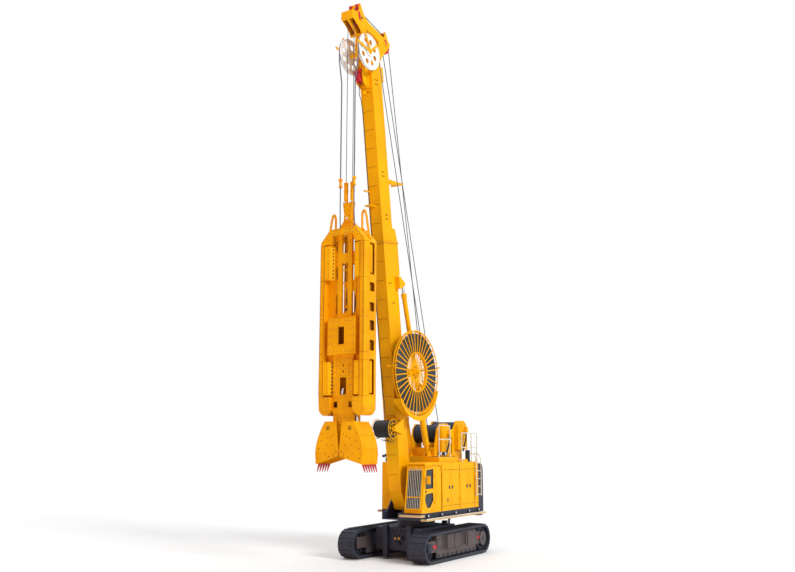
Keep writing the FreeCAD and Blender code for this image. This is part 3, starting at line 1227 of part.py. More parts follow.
def grab_frame():
    """Guide body: two columns, top frame, centre box, foot beam, neck and the jaw carrier."""
    w = GRAB_WALL
    top = cut(shoulder_solid(0), shoulder_solid(w))
    foot = cut(foot_solid(0), foot_solid(w))
    end = FOOT_Y0 + 5
    beam = [(-end, COLUMN_Z0 + 40), (-end, 5880), (-NECK_Y - 20, BEAM_Z0), (NECK_Y + 20, BEAM_Z0),
            (end, 5880), (end, COLUMN_Z0 + 40)]
    beam = hollow_x(beam, NECK_X0, NECK_X1, w)
    core = box(CORE_X0, CORE_X1, -CORE_Y, CORE_Y, COLUMN_Z0, PLATE_Z0)
    core = cut(core, box(CORE_X0 + w, CORE_X1 - w, -CORE_Y + w, CORE_Y - w, COLUMN_Z0 - 1, PLATE_Z0 - w))
    centre = box(GRAB_X0, GRAB_X1, -CENTRE_Y, CENTRE_Y, PLATE_Z0, PLATE_Z1)
    half = CENTRE_Y - w
    centre = cut(centre, box(GRAB_X0 + w, GRAB_X1 - w, -half, half, PLATE_Z0 + w, PLATE_Z1 - w))
    n = NECK_WALL
    neck = box(NECK_X0, NECK_X1, -NECK_Y, NECK_Y, NECK_Z0, BEAM_Z0)
    neck = cut(neck, box(NECK_X0 + n, NECK_X1 - n, -NECK_Y + n, NECK_Y - n, NECK_Z0 - 1, BEAM_Z0 + 1))
    column = grab_column()
    loop = lifting_loop()
    frame = join(top, beam, foot, mirror_y(foot), core, centre, neck, column, mirror_y(column))
    frame = join(frame, loop, mirror_y(loop))
    passage = [
        box(NECK_X0 + w, NECK_X1 - w, -CORE_Y + w, CORE_Y - w, BEAM_Z0 - 1, COLUMN_Z0 + 60),
        box(GRAB_X - ROD_SLOT_X, GRAB_X + ROD_SLOT_X, -ROD_SLOT_Y, ROD_SLOT_Y, NECK_Z0 - 1, COLUMN_Z0 - 30),
    ]
    holes = []
    for x0, x1 in ((GRAB_X0 - 1, GRAB_X0 + w + 1), (GRAB_X1 - w - 1, GRAB_X1 + 1)):
        holes.append(box(x0, x1, -145, 145, 8350, 9030))
    for x0, x1 in ((CORE_X0 - 1, CORE_X0 + w + 1), (CORE_X1 - w - 1, CORE_X1 + 1)):
        holes.append(box(x0, x1, -150, 150, 6450, 7100))
        for z in (7280, 7510):
            holes.append(box(x0, x1, -30, 30, z, z + 90))
    for x0, x1 in ((NECK_X0 - 1, NECK_X0 + w + 1), (NECK_X1 - w - 1, NECK_X1 + 1)):
        for y0 in (-460, 250):
            holes.append(box(x0, x1, y0, y0 + 210, 5950, 6190))
    frame = cut(frame, *passage, *holes)
    carrier = [(-330, NECK_Z0), (330, NECK_Z0), (305, JAW_PIVOT_Z), (250, JAW_PIVOT_Z - 90),
               (-250, JAW_PIVOT_Z - 90), (-305, JAW_PIVOT_Z)]
    plates = [prism_x(carrier, x0, x0 + 2 * n) for x0 in (NECK_X0, NECK_X1 - 2 * n)]
    stem = [(-110, NECK_Z0), (110, NECK_Z0), (20, JAW_PIVOT_Z + 100), (-20, JAW_PIVOT_Z + 100)]
    plates += [prism_x(stem, x0, x1) for x0, x1 in ((NECK_X0 + 2 * n, 5075), (5285, NECK_X1 - 2 * n))]
    pins = [
        rod((JAW_X0, y, JAW_PIVOT_Z), (JAW_X1, y, JAW_PIVOT_Z), JAW_PIN_R - RUN_FIT)
        for y in (-JAW_PIVOT_Y, JAW_PIVOT_Y)
    ]
    return join(frame, *plates, *pins)


def grab_head():
    """Yoke with the two rope sockets."""
    base = SHOULDER_Y - 40
    yoke = [(-250, SOCKET_BOTTOM + 40), (-YOKE_WAIST, 13780), (-YOKE_WAIST, 13400), (-420, 13050),
            (-base, GRAB_TOP), (base, GRAB_TOP), (420, 13050), (YOKE_WAIST, 13400),
            (YOKE_WAIST, 13780), (250, SOCKET_BOTTOM + 40)]
    yoke = prism_x(yoke, GRAB_X - YOKE_T / 2, GRAB_X + YOKE_T / 2)
    sockets = []
    bores = []
    for y in (-ROPE_Y, ROPE_Y):
        sockets.append(rod((GRAB_X, y, SOCKET_BOTTOM), (GRAB_X, y, SOCKET_TOP), SOCKET_R))
        bores.append(rod((GRAB_X, y, SOCKET_BOTTOM + 20), (GRAB_X, y, SOCKET_TOP + 1), ROPE_R + 0.5))
    return cut(join(yoke, *sockets), *bores)


def grab_pads():
    """Eight wear pads on the faces of the columns."""
    pads = []
    for z0, z1 in PAD_Z:
        front = [(COLUMN_X1, COLUMN_IN_Y), (GRAB_X1, COLUMN_IN_Y + PAD_SLANT), (GRAB_X1, STRIP_Y),
                 (COLUMN_X1, STRIP_Y)]
        rear = [(COLUMN_X0, COLUMN_IN_Y), (GRAB_X0, COLUMN_IN_Y + PAD_SLANT), (GRAB_X0, STRIP_Y),
                (COLUMN_X0, STRIP_Y)]
        for plan in (front, rear):
            w = GRAB_WALL
            pad = cut(prism_z(plan, z0, z1), prism_z(inset(plan, w), z0 + w, z1 - w))
            pads += [pad, mirror_y(pad)]
    return group(*pads)


def grab_rails():
    """Four rails and their ties round the closing cylinder."""
    z0 = PLATE_Z1
    z1 = TOP_TIE_Z
    x_in = CLOSER_R + 20
    reach = x_in + RAIL_T
    slim = REAR_RAIL_IN
    front = box(GRAB_X + x_in, GRAB_X + reach, RAIL_Y0, RAIL_Y1, z0, z1)
    rear = box(GRAB_X - reach, GRAB_X - x_in, RAIL_Y0 + slim, RAIL_Y1 - slim, z0, z1)
    pieces = [front, mirror_y(front), rear, mirror_y(rear)]
    for a, b in ((z0, z0 + 200), (11580, 11980)):
        pieces.append(box(GRAB_X - reach, GRAB_X + reach, -RAIL_Y1, RAIL_Y1, a, b))
    bore = rod((GRAB_X, 0, z0 - 1), (GRAB_X, 0, z1 + 1), CLOSER_R + SEAT_GAP)
    return cut(join(*pieces), bore)


def closing_cylinder():
    return rod((GRAB_X, 0, PLATE_Z1), (GRAB_X, 0, PLATE_Z1 + CLOSER_L), CLOSER_R)


SHELL_SIDE = ((650.0, 5430.0), (800.0, 5180.0), (925.0, 4920.0), (1010.0, 4680.0), (1063.0, 4430.0),
              (1082.0, 4140.0))
EDGE_SLOPE = math.tan(math.radians(90.0 - JAW_CLOSE))
EDGE_DISTANCE = JAW_PIVOT_Y - JAW_GAP


def edge_z(y):
    """Height of the jaw's bottom edge, which stands upright when the jaw is shut."""
    angle = math.radians(90.0 - JAW_CLOSE)
    y0 = JAW_PIVOT_Y - EDGE_DISTANCE * math.sin(angle)
    z0 = JAW_PIVOT_Z - EDGE_DISTANCE * math.cos(angle)
    return z0 - (y - y0) * EDGE_SLOPE


def jaw_left():
    """Scoop half on the left: two side plates and the bent back shell."""
    hub = []
    for i in range(7):
        angle = math.radians(180 + JAW_CLOSE * i / 6)
        c = math.cos(angle)
        hub.append((JAW_PIVOT_Y + EDGE_DISTANCE * c, JAW_PIVOT_Z + EDGE_DISTANCE * math.sin(angle)))
    tip = (1060.0, edge_z(1060.0))
    side = [(135, 5400)] + hub + [tip] + list(reversed(SHELL_SIDE)) + [(200, 5440)]
    plates = [prism_x(side, x0, x0 + JAW_SIDE_T) for x0 in (JAW_X0, JAW_X1 - JAW_SIDE_T)]
    t = JAW_SHELL_T
    inner = [(y - t, z - t * 0.2) for y, z in SHELL_SIDE]
    shell = list(SHELL_SIDE) + [tip, (tip[0] - t, edge_z(tip[0] - t))] + list(reversed(inner))
    shell = prism_x(shell, JAW_X0, JAW_X1)
    tubes = []
    for x0, x1 in ((JAW_X0, NECK_X0 - 5), (NECK_X1 + 5, JAW_X1)):
        tubes.append(rod((x0, JAW_PIVOT_Y, JAW_PIVOT_Z), (x1, JAW_PIVOT_Y, JAW_PIVOT_Z), JAW_PIN_R + 40))
    lug = [(430, 5120), (430, 5270), (640, 5400), (790, 5150), (700, 5080)]
    half = PUSH_W / 2 + 5
    lugs = [prism_x(lug, x0, x0 + 30) for x0 in (GRAB_X - half - 30, GRAB_X + half)]
    whole = join(*plates, shell, *tubes, *lugs)
    bore = rod((JAW_X0 - 1, JAW_PIVOT_Y, JAW_PIVOT_Z), (JAW_X1 + 1, JAW_PIVOT_Y, JAW_PIVOT_Z), JAW_PIN_R)
    end = half + 30
    pin = rod((GRAB_X - end, PUSH_Y, PUSH_Z), (GRAB_X + end, PUSH_Y, PUSH_Z), PUSH_PIN_R - RUN_FIT)
    return join(cut(whole, bore), pin)


def jaw_right():
    return mirror_y(jaw_left())


def teeth(count):
    """Row of teeth under the outer edge of the left-hand shell."""
    root = 1060.0
    z0 = edge_z(root)
    side = [(root - 75, edge_z(root - 75)), (root, z0), (root + TOOTH_LEAN, z0 - TOOTH_L),
            (root + TOOTH_LEAN - 20, z0 - TOOTH_L - 5)]
    first = GRAB_X - TOOTH_PITCH * (count - 1) / 2
    half = TOOTH_W / 2
    tip = TOOTH_TIP_W / 2
    row = []
    for i in range(count):
        x = first + i * TOOTH_PITCH
        wedge = [(x - half, z0 + 80), (x + half, z0 + 80), (x + half, z0 - 20), (x + tip, z0 - TOOTH_L - 5),
                 (x - tip, z0 - TOOTH_L - 5), (x - half, z0 - 20)]
        row.append(prism_x(side, x - half, x + half).common(prism_y(wedge, root - 100, root + 200)))
    return group(*row)


def teeth_left():
    return teeth(6)


def teeth_right():
    return mirror_y(teeth(5))


def push_rod_left():
    """Rod between the closing cylinder's crosshead and the left jaw."""
    top_z = PUSH_Z + math.sqrt(PUSH_L ** 2 - (PUSH_Y - PUSH_TOP_Y) ** 2)
    half = PUSH_W / 2
    x0 = GRAB_X - half
    x1 = GRAB_X + half
    length = PUSH_L
    ny = (top_z - PUSH_Z) / length * 40
    nz = (PUSH_Y - PUSH_TOP_Y) / length * 40
    bar = prism_x([(PUSH_Y - ny, PUSH_Z - nz), (PUSH_TOP_Y - ny, top_z - nz), (PUSH_TOP_Y + ny, top_z + nz),
                   (PUSH_Y + ny, PUSH_Z + nz)], x0, x1)
    low = rod((x0, PUSH_Y, PUSH_Z), (x1, PUSH_Y, PUSH_Z), 70)
    high = rod((x0, PUSH_TOP_Y, top_z), (x1, PUSH_TOP_Y, top_z), 55)
    return cut(join(bar, low, high), rod((x0 - 1, PUSH_Y, PUSH_Z), (x1 + 1, PUSH_Y, PUSH_Z), PUSH_PIN_R))


def push_rod_right():
    return mirror_y(push_rod_left())


PARTS = {
    "carbody": carbody,
    "track_frames": track_frames,
    "track_left": track_left,
    "track_right": track_right,
    "track_wheels": track_wheels,
    "slew_deck": slew_deck,
    "walkways": walkways,
    "cab_shell": cab_shell,
    "cab_roof": cab_roof,
    "cab_glass": cab_glass,
    "cab_seat": cab_seat,
    "cab_door": cab_door,
    "engine_house": engine_house,
    "house_roof": house_roof,
    "engine_block": engine_block,
    "counterweight": counterweight,
    "service_door_1": lambda: service_door(0),
    "service_door_2": lambda: service_door(1),
    "service_door_3": lambda: service_door(2),
    "service_door_4": lambda: service_door(3),
    "winch_frame": winch_frame,
    "winch_covers": winch_covers,
    "winch_drum_front": lambda: winch_drum(DRUM_FRONT),
    "winch_drum_rear": lambda: winch_drum(DRUM_REAR),
    "handrails": handrails,
    "mast_lower": mast_lower,
    "mast_upper": mast_upper,
    "mast_head": mast_head,
    "front_sheaves": front_sheaves,
    "rear_sheaves": rear_sheaves,
    "hose_disc_left": hose_disc_left,
    "hose_disc_right": hose_disc_right,
    "reel_support": reel_support,
    "hose_reel": hose_reel,
    "cable_bracket": cable_bracket,
    "cable_drum": cable_drum,
    "luff_barrels": luff_barrels,
    "luff_rods": luff_rods,
    "hoist_ropes": hoist_ropes,
    "grab_frame": grab_frame,
    "grab_head": grab_head,
    "grab_pads": grab_pads,
    "grab_rails": grab_rails,
    "closing_cylinder": closing_cylinder,
    "jaw_left": jaw_left,
    "jaw_right": jaw_right,
    "teeth_left": teeth_left,
    "teeth_right": teeth_right,
    "push_rod_left": push_rod_left,
    "push_rod_right": push_rod_right,
}

os.makedirs("parts", exist_ok=True)
for name, make in PARTS.items():
    make().exportStep("parts/" + name + ".step")
    print("wrote", name)
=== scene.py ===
"""Looks of the diaphragm wall grab: finish of every CAD node, added detail, floor, light and camera.

Metres in the frame of the CAD model: X forward, Y to the operator's left, Z up.
"""
import json
from functools import partial
from math import asin, atan2, cos, hypot, pi, radians, sin
import bmesh
import bpy
from mathutils import Matrix, Vector


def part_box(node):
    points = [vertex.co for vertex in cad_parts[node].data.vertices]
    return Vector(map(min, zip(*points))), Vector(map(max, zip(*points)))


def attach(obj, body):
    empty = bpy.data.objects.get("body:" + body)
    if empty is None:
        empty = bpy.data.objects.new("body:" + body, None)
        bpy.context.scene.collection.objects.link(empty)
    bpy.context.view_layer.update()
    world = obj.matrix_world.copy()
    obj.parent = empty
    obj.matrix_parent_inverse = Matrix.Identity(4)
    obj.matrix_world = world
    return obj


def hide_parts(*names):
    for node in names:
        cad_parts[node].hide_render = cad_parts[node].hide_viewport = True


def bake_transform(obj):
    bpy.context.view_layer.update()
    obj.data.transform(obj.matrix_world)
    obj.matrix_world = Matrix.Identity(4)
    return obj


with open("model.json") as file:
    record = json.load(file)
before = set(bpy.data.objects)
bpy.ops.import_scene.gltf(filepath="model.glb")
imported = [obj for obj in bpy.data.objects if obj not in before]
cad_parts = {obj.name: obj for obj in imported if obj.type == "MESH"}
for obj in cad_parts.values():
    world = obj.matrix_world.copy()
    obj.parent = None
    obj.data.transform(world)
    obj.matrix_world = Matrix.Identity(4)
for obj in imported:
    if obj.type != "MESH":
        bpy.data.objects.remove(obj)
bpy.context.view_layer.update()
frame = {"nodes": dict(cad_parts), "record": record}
NODES = frame["nodes"]

# ---- driving dimensions shared with the CAD model ----
X, Y, Z = (1, 0, 0), (0, 1, 0), (0, 0, 1)
PIVOT = (1.1, 0.0, 2.1)
LEAN = radians(7.85)
MAST = Matrix.Translation(PIVOT) @ Matrix.Rotation(LEAN, 4, "Y")
MAST_HALF = 0.29
MAST_FRONT = 0.5
REEL_C = Vector((-0.468, 0.0, 5.444))
REEL_R = 1.75
REEL_RING_R = 0.817
REEL_Y = (0.78, 0.9)
CABLE_C = Vector((1.211, 0.0, 3.296))
FRONT_AXLE = Vector((4.82, 0.0, 22.19))
REAR_AXLE = Vector((2.95, 0.0, 21.8))
REAR_ROPE_R = 0.398
DRUMS = {"front": Vector((-1.12, 0.0, 5.06)), "rear": Vector((-2.7, 0.0, 5.22))}
LUFF_FOOT = Vector((-0.26, 0.0, 4.22))
LUFF_EYE = MAST @ Vector((-0.56, 0.0, 9.2))
LUFF_Y = 0.42
HEAD_HALF = 0.281
ROPE_Y = 0.155
ROPE_X = 5.18
ROPE_R = 0.014
GRAB_MID = 5.18
TRACK_Y = 1.665
TRACK_FACE = 1.93
SPROCKET_X = -2.31
CARBODY_FRONT = 1.4
HOUSE_Y = 1.464
HOUSE_FRONT = 0.385
TAIL_X = -3.468
WINCH_COVER_Y = 0.865
DOOR_SPANS = ((0.34, -0.42, -0.287), (-0.42, -1.17, -0.554), (-1.26, -2.04, -1.894), (-2.04, -2.56, -2.181))
DOOR_WINDOWS = (
    [(1.12, 2.84), (1.735, 2.826), (1.64, 3.56), (1.11, 3.6)],
    [(1.143, 2.65), (1.107, 2.38), (1.37, 2.09), (1.61, 2.085), (1.77, 2.41), (1.7, 2.61)],
)
FACE = 5.62
SIDE = 1.12
SIDE_SLOTS = ((11.05, 12.3), (10.38, 10.73), (9.6, 9.95), (8.86, 9.25), (8.09, 8.49), (6.42, 7.76))
PADS = ((6.43, 7.7), (10.93, 12.3))
SHELL = ((0.65, 5.43), (0.8, 5.18), (0.925, 4.92), (1.01, 4.68), (1.063, 4.43), (1.082, 4.14))
TOOTH_PITCH = 0.16
TEETH = {"left": 6, "right": 5}
FLOOR_HALF = 400.0
SKY_STRENGTH = 0.22


# ---- shapes: each is (vertices, faces) ----
def row(start, step, count):
    return [start + step * i for i in range(count)]


def block(x0, x1, y0, y1, z0, z1):
    v = [(x, y, z) for x in (x0, x1) for y in (y0, y1) for z in (z0, z1)]
    return v, [(0, 1, 3, 2), (4, 6, 7, 5), (0, 4, 5, 1), (2, 3, 7, 6), (0, 2, 6, 4), (1, 5, 7, 3)]


def axes_of(direction):
    w = Vector(direction).normalized()
    u = Vector(Z if abs(w.z) < 0.9 else X).cross(w).normalized()
    return u, w.cross(u), w


def circle(centre, axis, r, count, phase=0.0):
    u, v, _ = axes_of(axis)
    c = Vector(centre)
    return [c + u * (r * cos(t)) + v * (r * sin(t)) for t in row(phase, 2 * pi / count, count)]


def polar(centre, r, t, y):
    """Point at a radius and an angle round a line along Y."""
    return centre.x + r * cos(t), y, centre.z + r * sin(t)


def tube_faces(rings, n, closed):
    """Faces between rings of n points, with end caps unless the last ring meets the first."""
    faces = []
    for i in range(rings if closed else rings - 1):
        j = (i + 1) % rings
        faces += [(i * n + k, i * n + (k + 1) % n, j * n + (k + 1) % n, j * n + k) for k in range(n)]
    if not closed:
        faces += [tuple(reversed(range(n))), tuple(range((rings - 1) * n, rings * n))]
    return faces


def lathe(a, b, profile, n=24):
    """Body of revolution between a and b; profile is (share of the way, radius), closed at both ends."""
    a = Vector(a)
    b = Vector(b)
    verts = []
    for t, r in profile:
        verts += circle(a + (b - a) * t, b - a, r, n)
    return verts, tube_faces(len(profile), n, False)


def lathe_y(x, z, y0, y1, profile, n=24):
    return lathe((x, y0, z), (x, y1, z), profile, n)


def lathe_z(x, y, z0, z1, profile, n=24):
    return lathe((x, y, z0), (x, y, z1), profile, n)


def rod(a, b, r, n=16):
    """Round bar with a small chamfer at both ends."""
    length = (Vector(b) - Vector(a)).length
    c = min(0.12 * r, 0.2 * length) / length
    return lathe(a, b, [(0, r * 0.88), (c, r), (1 - c, r), (1, r * 0.88)], n)


def ring(centre, axis, r_out, r_in, thick, n=48):
    """Flat ring round an axis, centred."""
    w = axes_of(axis)[2]
    rows = [circle(Vector(centre) + w * (t * thick), axis, r, n)
            for r, t in ((r_in, -0.5), (r_out, -0.5), (r_out, 0.5), (r_in, 0.5))]
    return [line[i] for i in range(n) for line in rows], tube_faces(n, 4, True)


def extrude(outline, axis, a, b):
    """Prism of a flat outline along axis 'x' (outline y, z), 'y' (x, z) or 'z' (x, y)."""
    n = len(outline)
    place = "xyz".index(axis)
    verts = [(*p[:place], t, *p[place:]) for t in (a, b) for p in outline]
    faces = [tuple(reversed(range(n))), tuple(range(n, 2 * n))]
    return verts, faces + [(i, (i + 1) % n, n + (i + 1) % n, n + i) for i in range(n)]


def sweep(points, r, n=8, closed=False):
    """Round tube along a row of points."""
    p = [Vector(q) for q in points]
    last = len(p) - 1
    verts = []
    normal = None
    for i in range(len(p)):
        if closed:
            w = (p[(i + 1) % len(p)] - p[i - 1]).normalized()
        else:
            w = (p[min(i + 1, last)] - p[max(i - 1, 0)]).normalized()
        if normal is None:
            normal = axes_of(w)[0]
        normal = (normal - w * normal.dot(w)).normalized()
        side = w.cross(normal)
        verts += [p[i] + normal * (r * cos(t)) + side * (r * sin(t)) for t in row(0.0, 2 * pi / n, n)]
    return verts, tube_faces(len(p), n, closed)


def hose(points, r, n=8, steps=6):
    """Tube on a smooth way through given points."""
    p = [Vector(q) for q in points]
    p = [p[0] * 2 - p[1]] + p + [p[-1] * 2 - p[-2]]
    way = []
    for a, b, c, d in zip(p, p[1:], p[2:], p[3:]):
        for t in row(0.0, 1 / steps, steps):
            way.append(0.5 * (2 * b + (c - a) * t + (2 * a - 5 * b + 4 * c - d) * t * t
                              + (3 * b - a - 3 * c + d) * t ** 3))
    return sweep(way + [p[-2]], r, n)


def bolts(places, axis, r, h):
    """Hexagon heads on washers, standing off a face along an axis."""
    w = Vector(axis).normalized()
    out = []
    for base in map(Vector, places):
        out.append(lathe(base - w * 0.004, base + w * (h * 0.25), [(0, r * 1.35), (1, r * 1.3)], 12))
        out.append(lathe(base, base + w * h, [(0, r), (0.8, r), (1, r * 0.8)], 6))
    return out


def bolt_ring(centre, axis, r, count, size, height, phase=0.0):
    return bolts(circle(centre, axis, r, count, phase), axis, size, height)


def winding(centre, y0, y1, r, turns, rope_r, per_turn, growth=0.0):
    """Rope or hose wound round a line along Y: from y0 to y1, and outwards by its growth each turn."""
    total = turns * per_turn
    return sweep([polar(centre, r + growth * i / per_turn, 2 * pi * i / per_turn, y0 + (y1 - y0) * i / total)
                  for i in range(total + 1)], rope_r, 6)


def rounded(x0, x1, z0, z1, r, steps=5):
    """Corner points of a rectangle with round corners."""
    corners = ((x1 - r, z1 - r, 0), (x0 + r, z1 - r, 90), (x0 + r, z0 + r, 180), (x1 - r, z0 + r, 270))
    return [(cx + r * cos(t), cz + r * sin(t)) for cx, cz, start in corners
            for t in row(radians(start), pi / 2 / steps, steps + 1)]


def rim_on_face(x, outline, r):
    """Round bead on a face square to X, along an outline of (y, z) points."""
    return sweep([(x, y, z) for y, z in outline], r, 6, closed=True)


def moved(shape, matrix):
    return [matrix @ Vector(v) for v in shape[0]], shape[1]


def mirrored(shape):
    return [(v[0], -v[1], v[2]) for v in shape[0]], [tuple(reversed(f)) for f in shape[1]]


def both(shapes):
    return list(shapes) + [mirrored(s) for s in shapes]


def cushion(x, y, z, pull=0.05, crown=0.3, steps=10):
    """Sewn pad between three pairs of limits: full in the middle, thin at its rim, sides drawn in."""
    verts = []
    faces = []
    number = {}

    def corner(key):
        if key not in number:
            a, b, c = (2 * t / steps - 1 for t in key)
            slim = 1 - 0.06 * c * c
            shares = (a * (1 - pull * (1 - b * b)) * slim, b * (1 - pull * (1 - a * a)) * slim,
                      c * (1 - crown * max(abs(a), abs(b)) ** 4))
            number[key] = len(verts)
            verts.append(tuple((low + high) / 2 + (high - low) / 2 * share
                               for (low, high), share in zip((x, y, z), shares)))
        return number[key]

    cells = [(i, j) for i in range(steps) for j in range(steps)]
    for fixed in range(3):
        for side in (0, steps):
            for i, j in cells:
                square = []
                for di, dj in ((0, 0), (1, 0), (1, 1), (0, 1)):
                    key = [i + di, j + dj]
                    key.insert(fixed, side)
                    square.append(corner(tuple(key)))
                faces.append(tuple(square))
    return verts, faces


def piece(body, name, finish, shapes, bevel=0.0, place=None, slot=None, replaces=()):
    """One visible mesh of several closed shapes, riding on a body."""
    verts = []
    faces = []
    for shape_verts, shape_faces in shapes:
        faces += [tuple(len(verts) + i for i in f) for f in shape_faces]
        verts += [tuple(place @ Vector(v)) if place else tuple(v) for v in shape_verts]
    mesh = bpy.data.meshes.new(name)
    mesh.from_pydata(verts, [], faces)
    shell = bmesh.new()
    shell.from_mesh(mesh)
    bmesh.ops.recalc_face_normals(shell, faces=shell.faces)
    shell.to_mesh(mesh)
    shell.free()
    for polygon in mesh.polygons:
        polygon.use_smooth = True
    mesh.set_sharp_from_angle(angle=radians(35))
    mesh.materials.append(finish)
    obj = bpy.data.objects.new(name, mesh)
    bpy.context.scene.collection.objects.link(obj)
    if bevel:
        mod = obj.modifiers.new("edges", "BEVEL")
        mod.width = bevel
        mod.segments = 2
        mod.limit_method = "ANGLE"
        mod.angle_limit = radians(40)
    if replaces:
        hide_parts(*replaces)
    if body:
        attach(obj, body)
    slot or SLOT_OF[finish.name]
    return obj


on_tracks = partial(piece, "undercarriage")
on_upper = partial(piece, "upper")
on_mast = partial(piece, "mast", place=MAST)
on_grab = partial(piece, "grab")


# ---- finishes ----
SLOT_OF = {}


def maker(tree):
    """A function that adds a node to a tree; each input takes a value or the output of another node."""
    def made(kind, inputs, **settings):
        node = tree.nodes.new("ShaderNode" + kind)
        for key, value in settings.items():
            setattr(node, key, value)
        feed(tree, node, inputs)
        return node.outputs
    return made


def feed(tree, node, inputs):
    for key, value in inputs.items():
        if isinstance(value, bpy.types.NodeSocket):
            tree.links.new(value, node.inputs[key])
        else:
            node.inputs[key].default_value = value


def new_material(name, slot):
    mat = bpy.data.materials.new(name)
    mat.use_nodes = True
    SLOT_OF[mat.name] = slot
    return mat, mat.node_tree, maker(mat.node_tree)


def finish_of(name, slot, colour, shade, rough, metal=0.0, wear=None, grime=(0.1, 0.075, 0.05), spots=0.25,
              streaks=0.25, bump=0.12, grain=90.0, gloss=0.5, low_dust=None, dots=()):
    """Paint or metal with patches of a second tone, streaks, grime, worn edges and a fine uneven surface."""
    mat, tree, made = new_material(name, slot)
    place = made("TexCoord", {})["Object"]

    def noise(scale, detail, coarse, stretch=(1, 1, 1)):
        at = made("Mapping", {"Vector": place, "Scale": stretch})["Vector"]
        return made("TexNoise", {"Vector": at, "Scale": scale, "Detail": detail, "Roughness": coarse})["Fac"]

    def ranged(value, lo, hi, to_lo=0.0, to_hi=1.0):
        return made("MapRange", {"Value": value, "From Min": lo, "From Max": hi, "To Min": to_lo,
                                 "To Max": to_hi})["Result"]

    def product(first, second):
        return made("Math", {0: first, 1: second}, operation="MULTIPLY")["Value"]

    def mixed(share, first, second):
        first, second = [(*tone, 1.0) if isinstance(tone, tuple) else tone for tone in (first, second)]
        return made("Mix", {0: share, 6: first, 7: second}, data_type="RGBA")[2]

    result = mixed(ranged(noise(0.9, 4.0, 0.55), 0.35, 0.65), colour, shade)
    if streaks:
        result = mixed(ranged(noise(5.0, 5.0, 0.6, (1.0, 1.0, 0.07)), 0.55, 0.8, 0.0, streaks), result, grime)
    result = mixed(ranged(noise(7.0, 9.0, 0.7), 0.6, 0.78, 0.0, spots), result, grime)
    split = made("SeparateXYZ", {"Vector": place})
    if low_dust:
        height = ranged(split["Z"], 1.3, 0.0, 0.0, 0.75)
        result = mixed(product(height, ranged(noise(4.0, 8.0, 0.65), 0.38, 0.62)), result, low_dust)
    side = made("Math", {0: split["Y"]}, operation="ABSOLUTE")["Value"]
    flat = made("CombineXYZ", {"X": side, "Y": split["Z"]})["Vector"]
    for y, z, r_out, r_in in dots:
        away = made("VectorMath", {0: flat, 1: (y, z, 0.0)}, operation="DISTANCE")["Value"]
        mask = product(ranged(away, r_out, r_out - 0.006), ranged(away, r_in - 0.006, r_in))
        result = mixed(mask, result, (0.16, 0.065, 0.01))
    soft = made("Bevel", {"Radius": 0.006}, samples=4)["Normal"]
    if wear:
        plain = made("NewGeometry", {})["Normal"]
        bend = made("VectorMath", {0: soft, 1: plain}, operation="DOT_PRODUCT")["Value"]
        scrape = product(ranged(bend, 0.97, 0.8, 0.0, 0.9), ranged(noise(11.0, 8.0, 0.7), 0.48, 0.66))
        result = mixed(scrape, result, wear)
    relief = made("Bump", {"Strength": bump, "Distance": 0.004, "Height": noise(grain, 6.0, 0.6),
                           "Normal": soft})
    feed(tree, tree.nodes["Principled BSDF"], {
        "Base Color": result, "Roughness": ranged(noise(23.0, 8.0, 0.65), 0.3, 0.7, *rough),
        "Metallic": metal,
        "Specular IOR Level": gloss, "Normal": relief["Normal"]})
    return mat


def clear_glass():
    """Thin tinted pane: mostly clear, with a stronger mirror at a slant and a dusty film."""
    mat, tree, made = new_material("pane_glass", "cab_glass")
    tree.nodes.remove(tree.nodes["Principled BSDF"])
    film = made("TexNoise", {"Vector": made("TexCoord", {})["Object"], "Scale": 3.0, "Detail": 8.0})["Fac"]
    tint = made("Mix", {0: film, 6: (0.11, 0.13, 0.15, 1.0), 7: (0.22, 0.24, 0.25, 1.0)}, data_type="RGBA")[2]
    rough = made("MapRange", {"Value": film, "To Min": 0.02, "To Max": 0.12})["Result"]
    wave = made("Bump", {"Strength": 0.05, "Distance": 0.002, "Height": film})["Normal"]
    mirror = made("BsdfGlossy", {"Color": (0.9, 0.95, 1.0, 1.0), "Roughness": rough, "Normal": wave})["BSDF"]
    slant = made("LayerWeight", {"Blend": 0.35})["Fresnel"]
    share = made("MapRange", {"Value": slant, "To Min": 0.04, "To Max": 0.6})["Result"]
    clear = made("BsdfTransparent", {"Color": tint})["BSDF"]
    pane = made("MixShader", {"Fac": share, 1: clear, 2: mirror})["Shader"]
    tree.links.new(pane, tree.nodes["Material Output"].inputs["Surface"])
    return mat


YELLOW = finish_of(
    "yellow_paint", "yellow_paint", (0.93, 0.45, 0.001), (0.88, 0.4, 0.001), (0.36, 0.56),
    wear=(0.3, 0.16, 0.05),
    grime=(0.34, 0.15, 0.01), spots=0.16, streaks=0.14, gloss=0.1)
GRAB_PAINT = finish_of(
    "grab_paint", "yellow_paint", (0.92, 0.42, 0.001), (0.8, 0.32, 0.001), (0.38, 0.6),
    wear=(0.2, 0.11, 0.05),
    grime=(0.18, 0.08, 0.02), spots=0.34, streaks=0.26, gloss=0.1)
JAW_DOTS = [(y, z, 0.026, 0.0) for y, z in (
    (0.8, 4.72), (0.55, 4.55), (0.92, 4.42), (0.62, 4.24), (0.96, 4.08), (0.36, 4.88), (0.8, 4.98),
    (0.44, 4.12),
    (0.98, 4.26), (0.3, 4.55), (0.22, 4.95), (0.5, 4.82))]
JAW_DOTS += [(0.5, 5.19, 0.08, 0.045), (0.525, 5.15, 0.04, 0.0), (0.12, 4.2, 0.13, 0.112)]
JAW_PAINT = finish_of(
    "jaw_paint", "yellow_paint", (0.92, 0.42, 0.001), (0.82, 0.335, 0.001), (0.38, 0.6),
    wear=(0.2, 0.11, 0.05),
    grime=(0.18, 0.08, 0.02), spots=0.3, streaks=0.2, gloss=0.1, dots=JAW_DOTS)
